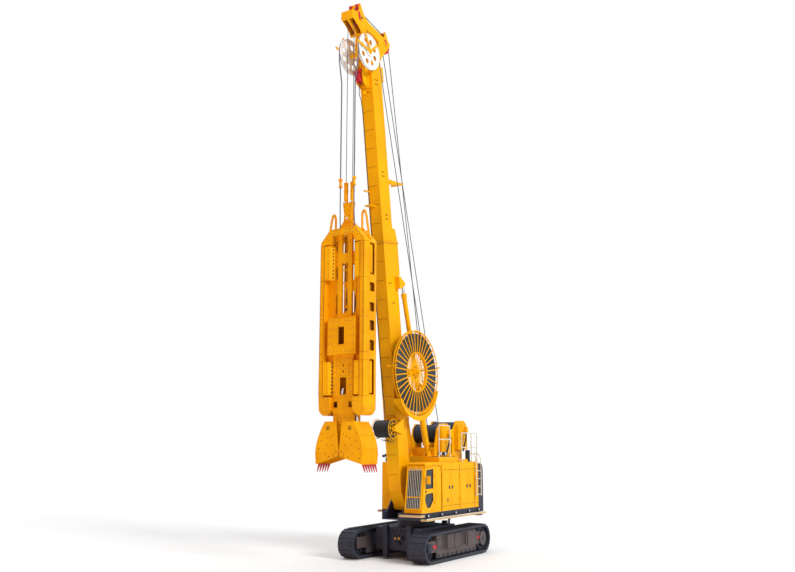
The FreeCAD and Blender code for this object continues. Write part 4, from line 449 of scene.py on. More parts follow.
# Darker copy of the yellow paint used as painted shade: seam lines, the shadow line under the cab brow,
# slots, slot backs and some bolt heads.
PAINTED_SHADE = finish_of(
    "seam_shade", "yellow_paint", (0.44, 0.175, 0.004), (0.32, 0.12, 0.004), (0.5, 0.7),
    grime=(0.1, 0.05, 0.02),
    gloss=0.1)
TAN = finish_of(
    "walkway_paint", "cream_paint", (0.66, 0.46, 0.24), (0.54, 0.36, 0.18), (0.5, 0.7),
    wear=(0.3, 0.24, 0.18),
    grime=(0.22, 0.15, 0.08), spots=0.4, streaks=0.1, gloss=0.2)
HOSE = finish_of(
    "hose_sheath", "dark_paint", (0.115, 0.13, 0.185), (0.08, 0.092, 0.14), (0.35, 0.55),
    grime=(0.06, 0.06, 0.07),
    spots=0.3, streaks=0.0, bump=0.15, grain=120.0)
COIL = finish_of(
    "wound_rope", "rope_steel", (0.03, 0.036, 0.058), (0.02, 0.024, 0.04), (0.5, 0.7), 0.2,
    grime=(0.012, 0.012, 0.015), spots=0.4, streaks=0.0, bump=0.4, grain=160.0)
DARK = finish_of(
    "dark_paint", "dark_paint", (0.028, 0.035, 0.062), (0.018, 0.022, 0.038), (0.4, 0.65),
    wear=(0.12, 0.12, 0.13),
    grime=(0.09, 0.075, 0.07), spots=0.3, streaks=0.15, gloss=0.3)
TRACK = finish_of(
    "track_steel", "track_steel", (0.036, 0.042, 0.066), (0.02, 0.024, 0.038), (0.45, 0.75), 0.3,
    wear=(0.26, 0.26, 0.28), grime=(0.058, 0.054, 0.064), spots=0.4, streaks=0.0, bump=0.3, gloss=0.3,
    low_dust=(0.066, 0.062, 0.072))
SKIRT = finish_of(
    "track_frame_paint", "dark_paint", (0.09, 0.066, 0.07), (0.055, 0.042, 0.047), (0.45, 0.7),
    wear=(0.2, 0.17, 0.16), grime=(0.1, 0.08, 0.07), spots=0.4, gloss=0.3, low_dust=(0.12, 0.095, 0.085))
CREAM = finish_of(
    "cream_paint", "cream_paint", (0.72, 0.7, 0.6), (0.62, 0.6, 0.5), (0.35, 0.55), wear=(0.35, 0.33, 0.3),
    grime=(0.25, 0.21, 0.15), spots=0.3, streaks=0.2)
RED = finish_of(
    "red_paint", "red_paint", (0.6, 0.02, 0.035), (0.46, 0.014, 0.026), (0.3, 0.5), wear=(0.35, 0.33, 0.33),
    grime=(0.1, 0.05, 0.04), streaks=0.1, gloss=0.3)
WHITE = finish_of(
    "white_paint", "white_paint", (0.9, 0.9, 0.89), (0.84, 0.84, 0.83), (0.3, 0.5), wear=(0.55, 0.54, 0.52),
    grime=(0.56, 0.54, 0.5), spots=0.12, streaks=0.08)
BRIGHT = finish_of(
    "bright_steel", "bright_steel", (0.72, 0.73, 0.75), (0.6, 0.61, 0.63), (0.16, 0.34), 1.0,
    grime=(0.25, 0.22, 0.18), spots=0.2, streaks=0.15, bump=0.04, grain=140.0)
ROPE = finish_of(
    "rope_steel", "rope_steel", (0.085, 0.088, 0.105), (0.05, 0.052, 0.062), (0.4, 0.6), 0.4,
    grime=(0.05, 0.04, 0.03), spots=0.4, streaks=0.0, bump=0.4, grain=160.0)
RUBBER = finish_of(
    "hose_rubber", "dark_paint", (0.022, 0.022, 0.026), (0.035, 0.034, 0.036), (0.45, 0.7),
    grime=(0.14, 0.12, 0.1), spots=0.3, streaks=0.0, bump=0.15, grain=120.0)
CLOTH = finish_of(
    "seat_cloth", "seat_cloth", (0.04, 0.042, 0.05), (0.06, 0.06, 0.066), (0.8, 0.95),
    grime=(0.12, 0.11, 0.1),
    spots=0.15, streaks=0.0, bump=0.5, grain=300.0)
LAMP = finish_of(
    "lamp_face", "white_paint", (0.56, 0.6, 0.68), (0.46, 0.5, 0.58), (0.08, 0.2), grime=(0.4, 0.38, 0.33),
    spots=0.15, streaks=0.0, bump=0.2, grain=60.0)
GLASS = clear_glass()

FINISHES = {
    "yellow_paint": YELLOW, "dark_paint": DARK, "track_steel": TRACK, "cream_paint": CREAM, "red_paint": RED,
    "white_paint": WHITE, "bright_steel": BRIGHT, "rope_steel": ROPE, "cab_glass": GLASS, "seat_cloth": CLOTH,
}
OWN_FINISH = {
    "jaw_left": JAW_PAINT, "jaw_right": JAW_PAINT, "grab_frame": GRAB_PAINT, "grab_head": GRAB_PAINT,
    "grab_rails": GRAB_PAINT, "track_frames": SKIRT, "carbody": DARK, "walkways": TAN,
}


def finish_nodes():
    """Every CAD node takes the finish of its material slot, or its own."""
    slots = {part["node"]: part["material_slot"] for part in frame["record"]["subparts"]}
    for name, obj in NODES.items():
        material = OWN_FINISH.get(name) or FINISHES[slots[name]]
        if not obj.data.materials:
            obj.data.materials.append(material)
        for part in obj.material_slots:
            part.material = material


# ---- undercarriage ----
def track_sides():
    """Panels, boxes, ribs, roller caps and hubs on the outer face of both track frames."""
    y = TRACK_FACE
    plates = [block(x0, x1, y, y + out, z0, z1) for x0, x1, out, z0, z1 in (
        (1.3, 1.7, 0.035, 0.58, 0.89), (-1.7, -0.93, 0.035, 0.4, 1.0), (0.92, 1.24, 0.02, 0.5, 1.0),
        (-0.9, -0.46, 0.02, 0.46, 1.0))]
    plates += [block(x - 0.014, x + 0.014, y, y + 0.055, 0.5, 1.0) for x in (1.02, 1.13, -0.6, -0.75)]
    on_tracks("track_side_plates", SKIRT, both(plates), 0.006)
    rim = y + 0.025
    bars = [block(x0, x1, rim, rim + 0.018, z0, z1) for x0, x1, z0, z1 in (
        (-0.43, 0.87, 1.0, 1.03), (-0.43, 0.87, 0.46, 0.49), (-0.43, -0.4, 0.49, 1.0),
        (0.84, 0.87, 0.49, 1.0),
        (0.205, 0.235, 0.49, 1.0))]
    on_tracks("track_panel_rims", SKIRT, both(bars), 0.004)
    heads = [(x, rim + 0.018, z) for x in (-0.36, -0.1, 0.16, 0.28, 0.54, 0.8) for z in (0.475, 1.015)]
    heads += [(x, y + 0.035, z) for x in (1.34, 1.66, -0.97, -1.66) for z in (0.62, 0.85)]
    on_tracks("track_panel_bolts", TRACK, both(bolts(heads, Y, 0.014, 0.014)))
    caps = []
    for x in row(-1.52, 0.38, 9):
        caps.append(lathe_y(x, 0.245, y - 0.02, y + 0.045,
                            [(0, 0.085), (0.6, 0.085), (0.75, 0.06), (1, 0.052)]))
        caps += bolt_ring((x, y + 0.02, 0.245), Y, 0.068, 4, 0.008, 0.01, 0.4)
    on_tracks("roller_caps", TRACK, both(caps))
    hubs = []
    for x, z in ((2.26, 0.6), (SPROCKET_X, 0.62)):
        hubs.append(lathe_y(x, z, y - 0.03, y + 0.062, [(0, 0.19), (0.5, 0.19), (0.62, 0.14), (1, 0.12)], 32))
        hubs += bolt_ring((x, y + 0.018, z), Y, 0.165, 8, 0.014, 0.016)
    on_tracks("wheel_hubs", DARK, both(hubs))
    ovals = []
    for x, z in ((1.86, 0.635), (-2.0, 0.68)):
        outline = [(x + 0.105 * cos(t) + (0.045 if cos(t) > 0 else -0.045), z + 0.062 * sin(t))
                   for t in row(0.0, pi / 12, 24)]
        ovals.append(extrude(outline, "y", y - 0.002, y + 0.016))
    on_tracks("track_red_caps", RED, both(ovals), 0.004)


def sprocket_teeth():
    """Drive teeth seen between the shoes."""
    shapes = []
    for y in (TRACK_Y - 0.225, TRACK_Y + 0.175):
        for t in row(pi * 0.55, pi / 12, 24):
            tooth = [(SPROCKET_X + (0.4 + b) * cos(t) - a * sin(t), 0.62 + (0.4 + b) * sin(t) + a * cos(t))
                     for a, b in ((-0.055, -0.04), (0.055, -0.04), (0.03, 0.055), (-0.03, 0.055))]
            shapes.append(extrude(tooth, "y", y, y + 0.05))
    on_tracks("drive_teeth", TRACK, both(shapes), 0.004)


def carbody_fittings():
    """Hoses, valve block, bolts and jack rams on the carbody between the tracks."""
    x = CARBODY_FRONT
    lines = [hose([(x - 0.02, y, 1.18), (x + 0.1, y + 0.03, 1.1), (x + 0.12, y + 0.1, 0.85),
                   (x + 0.02, y + 0.14, 0.72)],
                  0.018) for y in row(-0.3, 0.2, 4)]
    on_tracks("carbody_hoses", RUBBER, lines)
    blocks = [block(x, x + 0.1, -0.22, 0.18, 0.74, 0.9), block(x, x + 0.04, 0.4, 0.8, 0.45, 1.05),
              block(x, x + 0.04, -0.8, -0.4, 0.45, 1.05)]
    on_tracks("carbody_plates", DARK, blocks, 0.006)
    heads = [(x + 0.04, y, z) for y in (0.44, 0.76, -0.44, -0.76) for z in (0.5, 0.75, 1.0)]
    on_tracks("carbody_bolts", TRACK, bolts(heads, X, 0.016, 0.018))
    tags = [block(x + 0.1, x + 0.112, y, y + 0.08, 0.78, 0.86) for y in (-0.16, 0.02)]
    on_tracks("carbody_yellow_tags", YELLOW, tags, 0.003)
    on_tracks("slew_bolts", TRACK, bolt_ring((0, 0, 1.418), (0, 0, -1), 0.74, 36, 0.016, 0.02))
    rams = [rod((x + 0.09, y, 0.55), (x + 0.09, y, 1.2), 0.045) for y in (0.56, -0.56)]
    on_tracks("jack_rams", BRIGHT, rams)


# ---- cab ----
def nose(z, out=0.0):
    """Front face of the cab at height z, or a place in front of it."""
    share = (z - 1.98) / 1.64
    return 2.022 - 0.247 * min(max(share, 0.0), 1.0) + out


def cab_guard():
    """Protective bars in front of the windscreen and over the roof edge."""
    z0, z1, out = 2.05, 3.66, 0.075
    bars = [sweep([(nose(z0, out), y, z0), (nose(z1, out), y, z1)], 0.0085) for y in row(0.795, 0.08, 8)]
    on_upper("cab_guard_bars", CREAM, bars)
    rails = [sweep([(nose(z, out), 0.72, z), (nose(z, out), 1.42, z)], 0.022) for z in (z0, 2.51, z1)]
    for y in (0.72, 1.42):
        rails.append(sweep([(nose(z0, out), y, z0), (nose(z1, out), y, z1)], 0.024))
        rails += [sweep([(nose(z, -0.01), y, z), (nose(z, out), y, z)], 0.016) for z in (z0, 2.51, z1)]
    on_upper("cab_guard", YELLOW, rails)


def cab_trim():
    """Window seal, wiper, brow with a painted shadow line under it, mirror and grab bar of the cab."""
    low, high = [(nose(z, 0.004), z) for z in (2.075, 3.535)]
    seals = [sweep([(low[0], y, low[1]), (high[0], y, high[1])], 0.014) for y in (0.722, 1.352)]
    seals += [sweep([(x, 0.722, z), (x, 1.352, z)], 0.014) for x, z in (low, high)]
    on_upper("windscreen_seal", RUBBER, seals)
    wiper = [sweep([(nose(2.2, 0.03), 1.2, 2.2), (nose(2.75, 0.03), 1.02, 2.75)], 0.008),
             sweep([(nose(2.45, 0.028), 0.95, 2.45), (nose(3.05, 0.028), 1.1, 3.05)], 0.01)]
    on_upper("wiper", DARK, wiper)
    brow = sweep([(1.8, 0.66, 3.7), (1.83, 1.06, 3.72), (1.8, 1.475, 3.7), (1.3, 1.485, 3.755),
                  (0.7, 1.485, 3.765),
                  (0.46, 1.482, 3.7), (0.41, 1.478, 3.5)], 0.024)
    on_upper("cab_brow", YELLOW, [brow])
    # Painted shadow line under the brow and down the cab's rear edge.
    line = sweep([(1.785, 0.68, 3.668), (1.79, 1.47, 3.668), (1.3, 1.47, 3.725), (0.7, 1.47, 3.735),
                  (0.47, 1.47, 3.66), (0.43, 1.47, 3.48), (0.43, 1.47, 1.9)], 0.01, 6)
    on_upper("cab_brow_seam", PAINTED_SHADE, [line])
    mirror = [block(1.8, 1.86, 1.6, 1.74, 3.02, 3.34), sweep([(1.84, 1.45, 3.3), (1.84, 1.66, 3.26)], 0.012),
              sweep([(1.84, 1.45, 3.08), (1.84, 1.66, 3.1)], 0.012)]
    on_upper("cab_mirror", YELLOW, mirror, 0.018)
    y = HOUSE_Y
    bar = hose([(0.9, y, 2.35), (0.9, y + 0.05, 2.4), (0.9, y + 0.05, 3.0), (0.9, y, 3.05)], 0.012)
    on_upper("cab_grab_bar", YELLOW, [bar])


def grown(outline, distance):
    """Outline moved outwards about its middle by a distance."""
    cx, cz = [sum(values) / len(outline) for values in zip(*outline)]
    return [(x + (x - cx) / hypot(x - cx, z - cz) * distance, z + (z - cz) / hypot(x - cx, z - cz) * distance)
            for x, z in outline]


def door_fittings():
    """Panes with their rubber seals, and the handle of the cab door."""
    y = HOUSE_Y
    panes = [extrude(grown(window, 0.012), "y", y - 0.03, y - 0.022) for window in DOOR_WINDOWS]
    piece("cab_door", "door_panes", GLASS, panes)
    seals = [sweep([(x, y - 0.004, z) for x, z in window], 0.013, closed=True) for window in DOOR_WINDOWS]
    piece("cab_door", "door_seals", RUBBER, seals)
    handle = [block(1.66, 1.76, y, y + 0.012, 2.68, 2.76),
              hose([(1.675, y + 0.008, 2.72), (1.69, y + 0.035, 2.72), (1.745, y + 0.035, 2.72)], 0.009)]
    piece("cab_door", "door_handle", DARK, handle, 0.003)


def cab_inside():
    """Levers, console and screen seen through the panes."""
    shapes = [block(1.05, 1.45, 0.74, 0.8, 2.3, 2.62), block(1.05, 1.45, 1.26, 1.32, 2.3, 2.62),
              block(1.66, 1.74, 0.8, 1.02, 2.7, 2.95), block(1.55, 1.72, 0.9, 1.2, 1.95, 2.3)]
    for y in (0.77, 1.29):
        shapes.append(sweep([(1.38, y, 2.6), (1.42, y, 2.8)], 0.014))
        shapes.append(lathe((1.415, y, 2.78), (1.43, y, 2.87), [(0, 0.016), (0.5, 0.03), (1, 0.018)], 12))
    on_upper("cab_console", CLOTH, shapes, 0.01)


def seat_pads():
    """Operator's seat: pedestal, crowned cushion, leaning back with head pad, armrests, welts."""
    low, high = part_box("cab_seat")
    mid = (low[1] + high[1]) / 2
    floor = low[2]
    stand = [block(0.8, 1.06, mid - 0.15, mid + 0.15, floor + 0.001, floor + 0.1),
             lathe_z(0.93, mid, floor + 0.09, floor + 0.3, [(0, 0.13), (0.4, 0.1), (1, 0.12)]),
             block(0.76, 1.16, mid - 0.2, mid + 0.2, floor + 0.28, floor + 0.335)]
    on_upper("seat_pedestal", DARK, stand, 0.008, replaces=("cab_seat",))
    lean = Matrix.Translation((0.78, 0.0, floor + 0.46)) @ Matrix.Rotation(radians(-8), 4, "Y")
    pads = [cushion((0.725, 1.215), (mid - 0.235, mid + 0.235), (floor + 0.335, floor + 0.45)),
            moved(cushion((-0.06, 0.045), (mid - 0.225, mid + 0.225), (0.0, 0.46)), lean),
            moved(cushion((-0.045, 0.035), (mid - 0.13, mid + 0.13), (0.48, 0.67)), lean)]
    sides = (mid - 0.19, mid + 0.19)
    pads += [cushion((0.81, 1.24), (y - 0.045, y + 0.045), (floor + 0.55, floor + 0.61)) for y in sides]
    on_upper("seat_cushions", CLOTH, pads)
    welts = [sweep([(x, y, floor + z) for x, z in ((0.78, 0.448), (0.97, 0.452), (1.16, 0.448))], 0.005, 6)
             for y in (mid + 0.09, mid - 0.09)]
    on_upper("seat_welts", RUBBER, welts, slot="seat_cloth")
    posts = [rod((0.86, y, floor + 0.32), (0.86, y, floor + 0.565), 0.016, 12) for y in sides]
    on_upper("seat_arm_posts", DARK, posts)


# ---- engine house ----
def house_trim():
    """Seam lines drawn in painted shade, vents, louvres, lamps and filler knob of the house."""
    y = HOUSE_Y
    # Panel seams drawn as thin strips of painted shade.
    seams = [block(-3.0, 0.385, y, y + 0.008, z, z + 0.016) for z in (3.534, 2.07)]
    seams += [block(x - 0.012, x + 0.012, y, y + 0.008, 1.9, 3.78) for x in (0.372, -1.215, -2.6, -2.99)]
    on_upper("house_seams", PAINTED_SHADE, both(seams), 0.003)
    vents = [block(-0.2, -0.06, y, y + 0.01, z, z + 0.018) for z in row(2.24, 0.04, 4)]
    vents.append(lathe_y(-2.75, 2.6, y - 0.002, y + 0.012, [(0, 0.05), (1, 0.045)]))
    on_upper("house_vent_caps", DARK, vents)
    louvres = [extrude([(y - 0.004, z), (y + 0.028, z - 0.03), (y + 0.02, z + 0.045)], "x", -2.94, -2.64)
               for z in row(2.22, 0.13, 9)]
    louvres += [block(x, x + 0.6, -y - 0.012, -y + 0.002, z, z + 0.035) for x in (-2.4, -1.6)
                for z in row(2.3, 0.085, 14)]
    on_upper("house_louvres", YELLOW, louvres, 0.003)
    knob = [rod((-0.15, 1.5, 1.36), (-0.15, 1.5, 1.56), 0.045),
            rod((-0.15, 1.5, 1.54), (-0.15, 1.5, 1.6), 0.07)]
    on_upper("filler_knob", DARK, knob)
    lamps = (1.59, 0.475, -0.74, -1.99, -2.91)
    cups = [lathe_y(x, 1.765, y - 0.01, y + 0.06, [(0, 0.075), (0.7, 0.066), (1, 0.056)]) for x in lamps]
    on_upper("skirt_lamp_frames", DARK, cups)
    faces = [lathe_y(x, 1.765, y + 0.055, y + 0.08, [(0, 0.05), (0.5, 0.045), (1, 0.026)]) for x in lamps]
    on_upper("skirt_lamps", LAMP, faces)


def service_door_trim():
    """Latches and stiffening creases on the four service doors."""
    y = HOUSE_Y
    for i, (front, rear, x) in enumerate(DOOR_SPANS):
        body = f"service_door_{i + 1}"
        latch = [block(x - 0.055, x + 0.055, y, y + 0.014, 2.75, 2.89),
                 lathe_y(x, 2.81, y + 0.008, y + 0.02, [(0, 0.03), (1, 0.026)], 20)]
        piece(body, f"{body}_latch", DARK, latch, 0.004)
        a, b = rear + 0.06, front - 0.06
        rim = [block(a, b, y, y + 0.007, z, z + 0.016) for z in (2.22, 3.4)]
        rim += [block(x, x + 0.016, y, y + 0.007, 2.236, 3.4) for x in (a, b - 0.016)]
        piece(body, f"{body}_creases", YELLOW, rim, 0.003)


# ---- roof, winches, ladder ----
def ladder():
    """Ladder at the rear of the left side."""
    y = HOUSE_Y + 0.1
    rails = [hose([(x, y, 2.36), (x, y, 2.6), (x, y, 3.7), (x, y - 0.06, 4.1), (x, y - 0.3, 4.22)], 0.022)
             for x in (-2.63, -3.08)]
    rails += [sweep([(-2.63, y, z), (-3.08, y, z)], 0.018) for z in row(2.42, 0.34, 5)]
    rails += [sweep([(x, y, z), (x, y - 0.105, z)], 0.012) for z in (2.42, 3.44) for x in (-2.63, -3.08)]
    on_upper("ladder", CREAM, rails)


def roof_trim():
    """Roof treads, grilles, work lamps, beacon and the exhaust's shield."""
    top = 4.08
    slats = [extrude([(x, top - 0.001), (x + 0.06, top - 0.001), (x + 0.045, top + 0.016),
                      (x + 0.01, top + 0.016)],
                     "y", 0.72, 1.3) for x in row(-1.19, 0.105, 13)]
    on_upper("roof_grille", DARK, slats)
    treads = [block(x, x + 0.07, y, y + 0.14, 3.958, 3.972) for x in row(-1.95, 0.11, 6)
              for y in row(0.78, 0.18, 3)]
    on_upper("roof_treads", CREAM, treads, 0.004)
    edge = [block(-3.0, 0.38, 1.44, 1.462, 3.828, 3.85), block(0.36, 0.384, -1.45, 1.45, 3.828, 3.85)]
    on_upper("roof_edge", YELLOW, edge, 0.004)
    shield = [lathe_z(-2.8, 1.05, 3.83, 3.87, [(0, 0.16), (0.6, 0.16), (1, 0.11)]),
              lathe_z(-2.8, 1.05, 4.33, 4.352, [(0, 0.082), (0.5, 0.09), (1, 0.082)]),
              lathe_z(-2.8, 1.05, 3.84, 4.34, [(0, 0.1), (0.02, 0.105), (0.98, 0.105), (1, 0.09)])]
    on_upper("exhaust_shield", DARK, shield)
    z = 4.2
    lamps = []
    for x in (0.2, -0.2):
        lamps += [block(x - 0.08, x + 0.08, 1.22, 1.34, z - 0.06, z + 0.08),
                  sweep([(x, 1.28, 4.08), (x, 1.28, z)], 0.016)]
    on_upper("roof_lamps", DARK, lamps, 0.012)
    faces = [block(x - 0.065, x + 0.065, 1.338, 1.348, z - 0.045, z + 0.065) for x in (0.2, -0.2)]
    on_upper("roof_lamp_faces", LAMP, faces, 0.004)
    work = [sweep([(0.35, -1.3, 3.8), (0.35, -1.3, 4.12)], 0.02)]
    work += [block(0.33, 0.41, y - 0.055, y + 0.055, z - 0.055, z + 0.055)
             for y, z in ((-1.41, 4.1), (-1.28, 4.14), (-1.24, 3.95))]
    on_upper("corner_lamps", DARK, work, 0.012)
    beacon = [lathe_z(-2.1, -0.6, 3.83, 3.9, [(0, 0.09), (1, 0.07)], 20),
              lathe_z(-2.1, -0.6, 3.9, 4.05, [(0, 0.065), (0.7, 0.06), (1, 0.035)], 20)]
    on_upper("beacon", RED, beacon)


def house_front_face():
    """Grille and hoses on the front wall of the house beside the mast foot."""
    x = HOUSE_FRONT
    slats = [block(x - 0.002, x + 0.018, -1.25, -0.55, z, z + 0.05) for z in row(2.4, 0.11, 10)]
    on_upper("front_wall_louvres", YELLOW, slats, 0.004)
    pipes = [hose([(x - 0.01, y, 3.55), (x + 0.09, y, 3.5), (x + 0.1, y, 2.6), (x + 0.25, y * 0.8, 2.15)],
                  0.017)
             for y in row(-0.38, 0.075, 4)]
    on_upper("front_wall_hoses", RUBBER, pipes)


def winch_details():
    """Rope on both drums, bolts on covers and plates, and hydraulic lines."""
    for side, c in DRUMS.items():
        coil = winding(c, -0.52, 0.57, 0.372, 33, 0.0168, 20)
        piece(f"{side}_winch", f"{side}_drum_rope", COIL, [coil])
    for side, c in DRUMS.items():
        piece(f"{side}_winch", f"{side}_winch_bolts", TRACK,
              bolt_ring((c.x, 0.602, c.z), Y, 0.36, 16, 0.012, 0.01))
    y = WINCH_COVER_Y
    covers = []
    heads = []
    motors = []
    for c in DRUMS.values():
        covers += [lathe_y(c.x, c.z, y - 0.005, y + 0.05, [(0, 0.3), (0.45, 0.3), (0.6, 0.22), (1, 0.2)], 40),
                   ring((c.x, y + 0.004, c.z), Y, 0.425, 0.385, 0.018)]
        covers += [block(x, x + 0.03, y - 0.004, y + 0.014, c.z - 0.8, c.z) for x in (c.x - 0.4, c.x + 0.37)]
        heads += bolt_ring((c.x, y, c.z), Y, 0.405, 18, 0.011, 0.026)
        heads += bolt_ring((c.x, y + 0.022, c.z), Y, 0.265, 12, 0.013, 0.016)
        motors += [lathe_y(c.x, c.z, y + 0.04, y + 0.26,
                           [(0, 0.12), (0.2, 0.12), (0.25, 0.1), (0.8, 0.1), (0.85, 0.085), (1, 0.075)], 28),
                   block(c.x - 0.07, c.x + 0.07, y + 0.12, y + 0.24, c.z + 0.07, c.z + 0.15)]
    on_upper("winch_cover_rims", YELLOW, covers, 0.004)
    on_upper("winch_cover_bolts", DARK, heads)
    on_upper("winch_motors", YELLOW, motors, 0.008)
    lines = []
    for shift in (-0.05, 0.0, 0.05):
        for c in DRUMS.values():
            x = c.x + shift
            lines.append(hose([(x, y + 0.16, c.z - 0.08), (x, y + 0.17, c.z - 0.3),
                               (x + 0.04, y + 0.12, c.z - 0.6), (x + 0.06, y + 0.04, c.z - 0.92)], 0.014))
    on_upper("winch_hoses", RUBBER, lines)


def rail_fittings():
    """Feet and clamps of the handrails."""
    shapes = []
    for x, y, foot, clamp in ((0.33, 1.32, 4.08, 4.8), (-0.63, 1.32, 4.08, 4.8), (-1.5, 1.434, 3.83, 4.46),
                              (-2.42, 1.434, 3.83, 4.46), (-2.96, 1.434, 3.83, 4.46)):
        shapes.append(lathe_z(x, y, foot, foot + 0.09, [(0, 0.052), (0.12, 0.052), (0.14, 0.03), (1, 0.028)],
                              20))
        shapes.append(lathe_z(x, y, clamp - 0.035, clamp + 0.035,
                              [(0, 0.029), (0.2, 0.033), (0.8, 0.033), (1, 0.029)], 16))
    on_upper("rail_fittings", CREAM, shapes)


def walkway_treads():
    """Ribs of the walkway grating and the step below the cab."""
    ribs = [block(x, x + 0.016, 1.47, 1.745, 1.6695, 1.679) for x in row(-3.1, 0.081, 64)]
    ribs += [block(2.06, 2.34, y, y + 0.016, 1.8295, 1.839) for y in row(0.62, 0.115, 8)]
    on_upper("walkway_ribs", DARK, ribs)
    on_upper("walkway_lip", CREAM, [block(-3.13, 2.12, 1.738, 1.7495, 1.67, 1.7)], 0.003)


def counterweight_trim():
    """Lifting eyes and seams on the counterweight."""
    x = TAIL_X + 0.55
    eyes = [sweep([(x, y - 0.07, 3.79), (x, y - 0.07, 3.88), (x, y + 0.07, 3.88), (x, y + 0.07, 3.79)], 0.018)
            for y in (-0.9, 0.9)]
    on_upper("counterweight_eyes", DARK, eyes)
    seam = block(-3.4, -3.02, HOUSE_Y - 0.004, HOUSE_Y + 0.004, 2.6, 2.612)
    on_upper("counterweight_seams", DARK, both([seam]))


# ---- mast ----
def mast_trim():
    """Weld seams across the front and slots on the sides, both drawn in painted shade, plate edges and the
    bolted joint of the mast.
    """
    # Seams across the front face: thin lines of painted shade.
    x = MAST_FRONT + 0.002
    seams = [sweep([(x, -0.24, z), (x, 0.1, z + 0.01), (x, 0.2, z)], 0.009, 6) for z in row(1.35, 0.8, 22)]
    on_mast("mast_seams", PAINTED_SHADE, seams)
    x = MAST_FRONT - 0.004
    y = MAST_HALF * 1.004
    welds = [sweep([(x, s * y, z0), (x, s * y, z1)], 0.011, 6) for s in (-1, 1)
             for z0, z1 in ((0.75, 10.9), (11.0, 18.85))]
    on_mast("mast_welds", YELLOW, welds)
    y = MAST_HALF
    # Slots drawn as flat blocks of painted shade on the side plates.
    slots = [block(x - 0.11, x + 0.11, y - 0.001, y + 0.006, z - 0.026, z + 0.026) for x, z in (
        (0.17, 17.92), (0.17, 17.74), (0.14, 13.95), (0.14, 13.78), (0.11, 12.12), (0.11, 11.95),
        (0.21, 9.23),
        (0.04, 8.4))]
    on_mast("mast_slots", PAINTED_SHADE, both(slots), 0.002, slot="dark_paint")
    eyelets = [ring((0.3, y + 0.002, z), Y, 0.02, 0.012, 0.012, 16) for z in (17.92, 13.95)]
    on_mast("mast_eyelets", YELLOW, both(eyelets))
    joint = []
    for up, z in ((-1, 10.93), (1, 10.99)):
        joint += both(bolts([(x, y + 0.016, z) for x in row(-0.6, 0.108, 11)], (0, 0, up), 0.014, 0.016))
        joint += bolts([(MAST_FRONT + 0.016, a, z) for a in row(-0.26, 0.104, 6)], (0, 0, up), 0.014, 0.016)
    on_mast("mast_joint_bolts", DARK, joint)
    heads = [(x, y + 0.026, 18.94) for x in row(-0.3, 0.135, 7)]
    on_mast("mast_top_bolts", DARK, both(bolts(heads, Z, 0.016, 0.016)))
    strips = [block(-0.27, 0.48, y - 0.001, y + 0.007, z, z + 0.05) for z in (10.8, 11.06)]
    strips.append(block(0.455, 0.485, y - 0.001, y + 0.006, 1.2, 10.8))
    on_mast("mast_side_strips", YELLOW, both(strips), 0.003)


def mast_front_gear():
    """Guide pulley with its bracket, small boxes, hoses and their clamps on the mast."""
    x = MAST_FRONT
    z = 18.0
    bracket = [block(x, x + 0.1, -0.26, 0.16, z - 0.46, z + 0.44)]
    bracket += [extrude([(x + 0.05, z - 0.5), (x + 0.4, z - 0.3), (x + 0.46, z + 0.08), (x + 0.34, z + 0.4),
                         (x + 0.05, z + 0.48)], "y", y, y + 0.04) for y in (-0.25, 0.09)]
    bracket.append(rod((x + 0.3, -0.27, z), (x + 0.3, 0.15, z), 0.055))
    on_mast("guide_pulley_bracket", YELLOW, bracket, 0.006)
    wheel = lathe_y(x + 0.34, z, -0.17, 0.05,
                    [(0, 0.29), (0.22, 0.29), (0.42, 0.22), (0.58, 0.22), (0.78, 0.29), (1, 0.29)], 36)
    on_mast("guide_pulley", RED, [wheel] + bolt_ring((x + 0.34, 0.05, z), Y, 0.16, 6, 0.02, 0.012))
    boxes = [block(-0.5, -0.287, -0.18, 0.27, 17.98, 18.62), block(-0.42, -0.287, -0.08, 0.2, 17.75, 17.95),
             block(x + 0.02, x + 0.24, -0.16, 0.0, 17.26, 17.42)]
    on_mast("mast_boxes", YELLOW, boxes, 0.01)
    clamps = [block(-0.4, -0.3, 0.1, 0.26, z, z + 0.05) for z in row(2.2, 0.95, 9)]
    on_mast("mast_hose_clamps", DARK, clamps, 0.004)
    cable = hose([(x + 0.34, -0.06, 17.78), (x + 0.26, -0.22, 17.3), (x + 0.03, -0.26, 16.3),
                  (x + 0.03, -0.25, 10.0),
                  (x + 0.03, -0.25, 5.2), (x + 0.3, -0.02, 4.3), (x + 0.52, 0.1, 3.7)], 0.016)
    on_mast("mast_front_cable", RUBBER, [cable])
    lines = [hose([(-0.28, y, 0.8), (-0.36, y, 1.6), (-0.42, y, 4.0), (-0.45, y, 7.0), (-0.445, y, 9.4)],
                  0.014)
             for y in row(0.12, 0.035, 4)]
    on_mast("mast_back_hoses", RUBBER, lines)


def centre_of(node):
    low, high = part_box(node)
    return Vector([(a + b) / 2 for a, b in zip(low, high)])


def radius_of(disc):
    low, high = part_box(disc)
    return (high[2] - low[2]) / 2


def to_mast(p):
    return MAST.inverted() @ Vector(p)


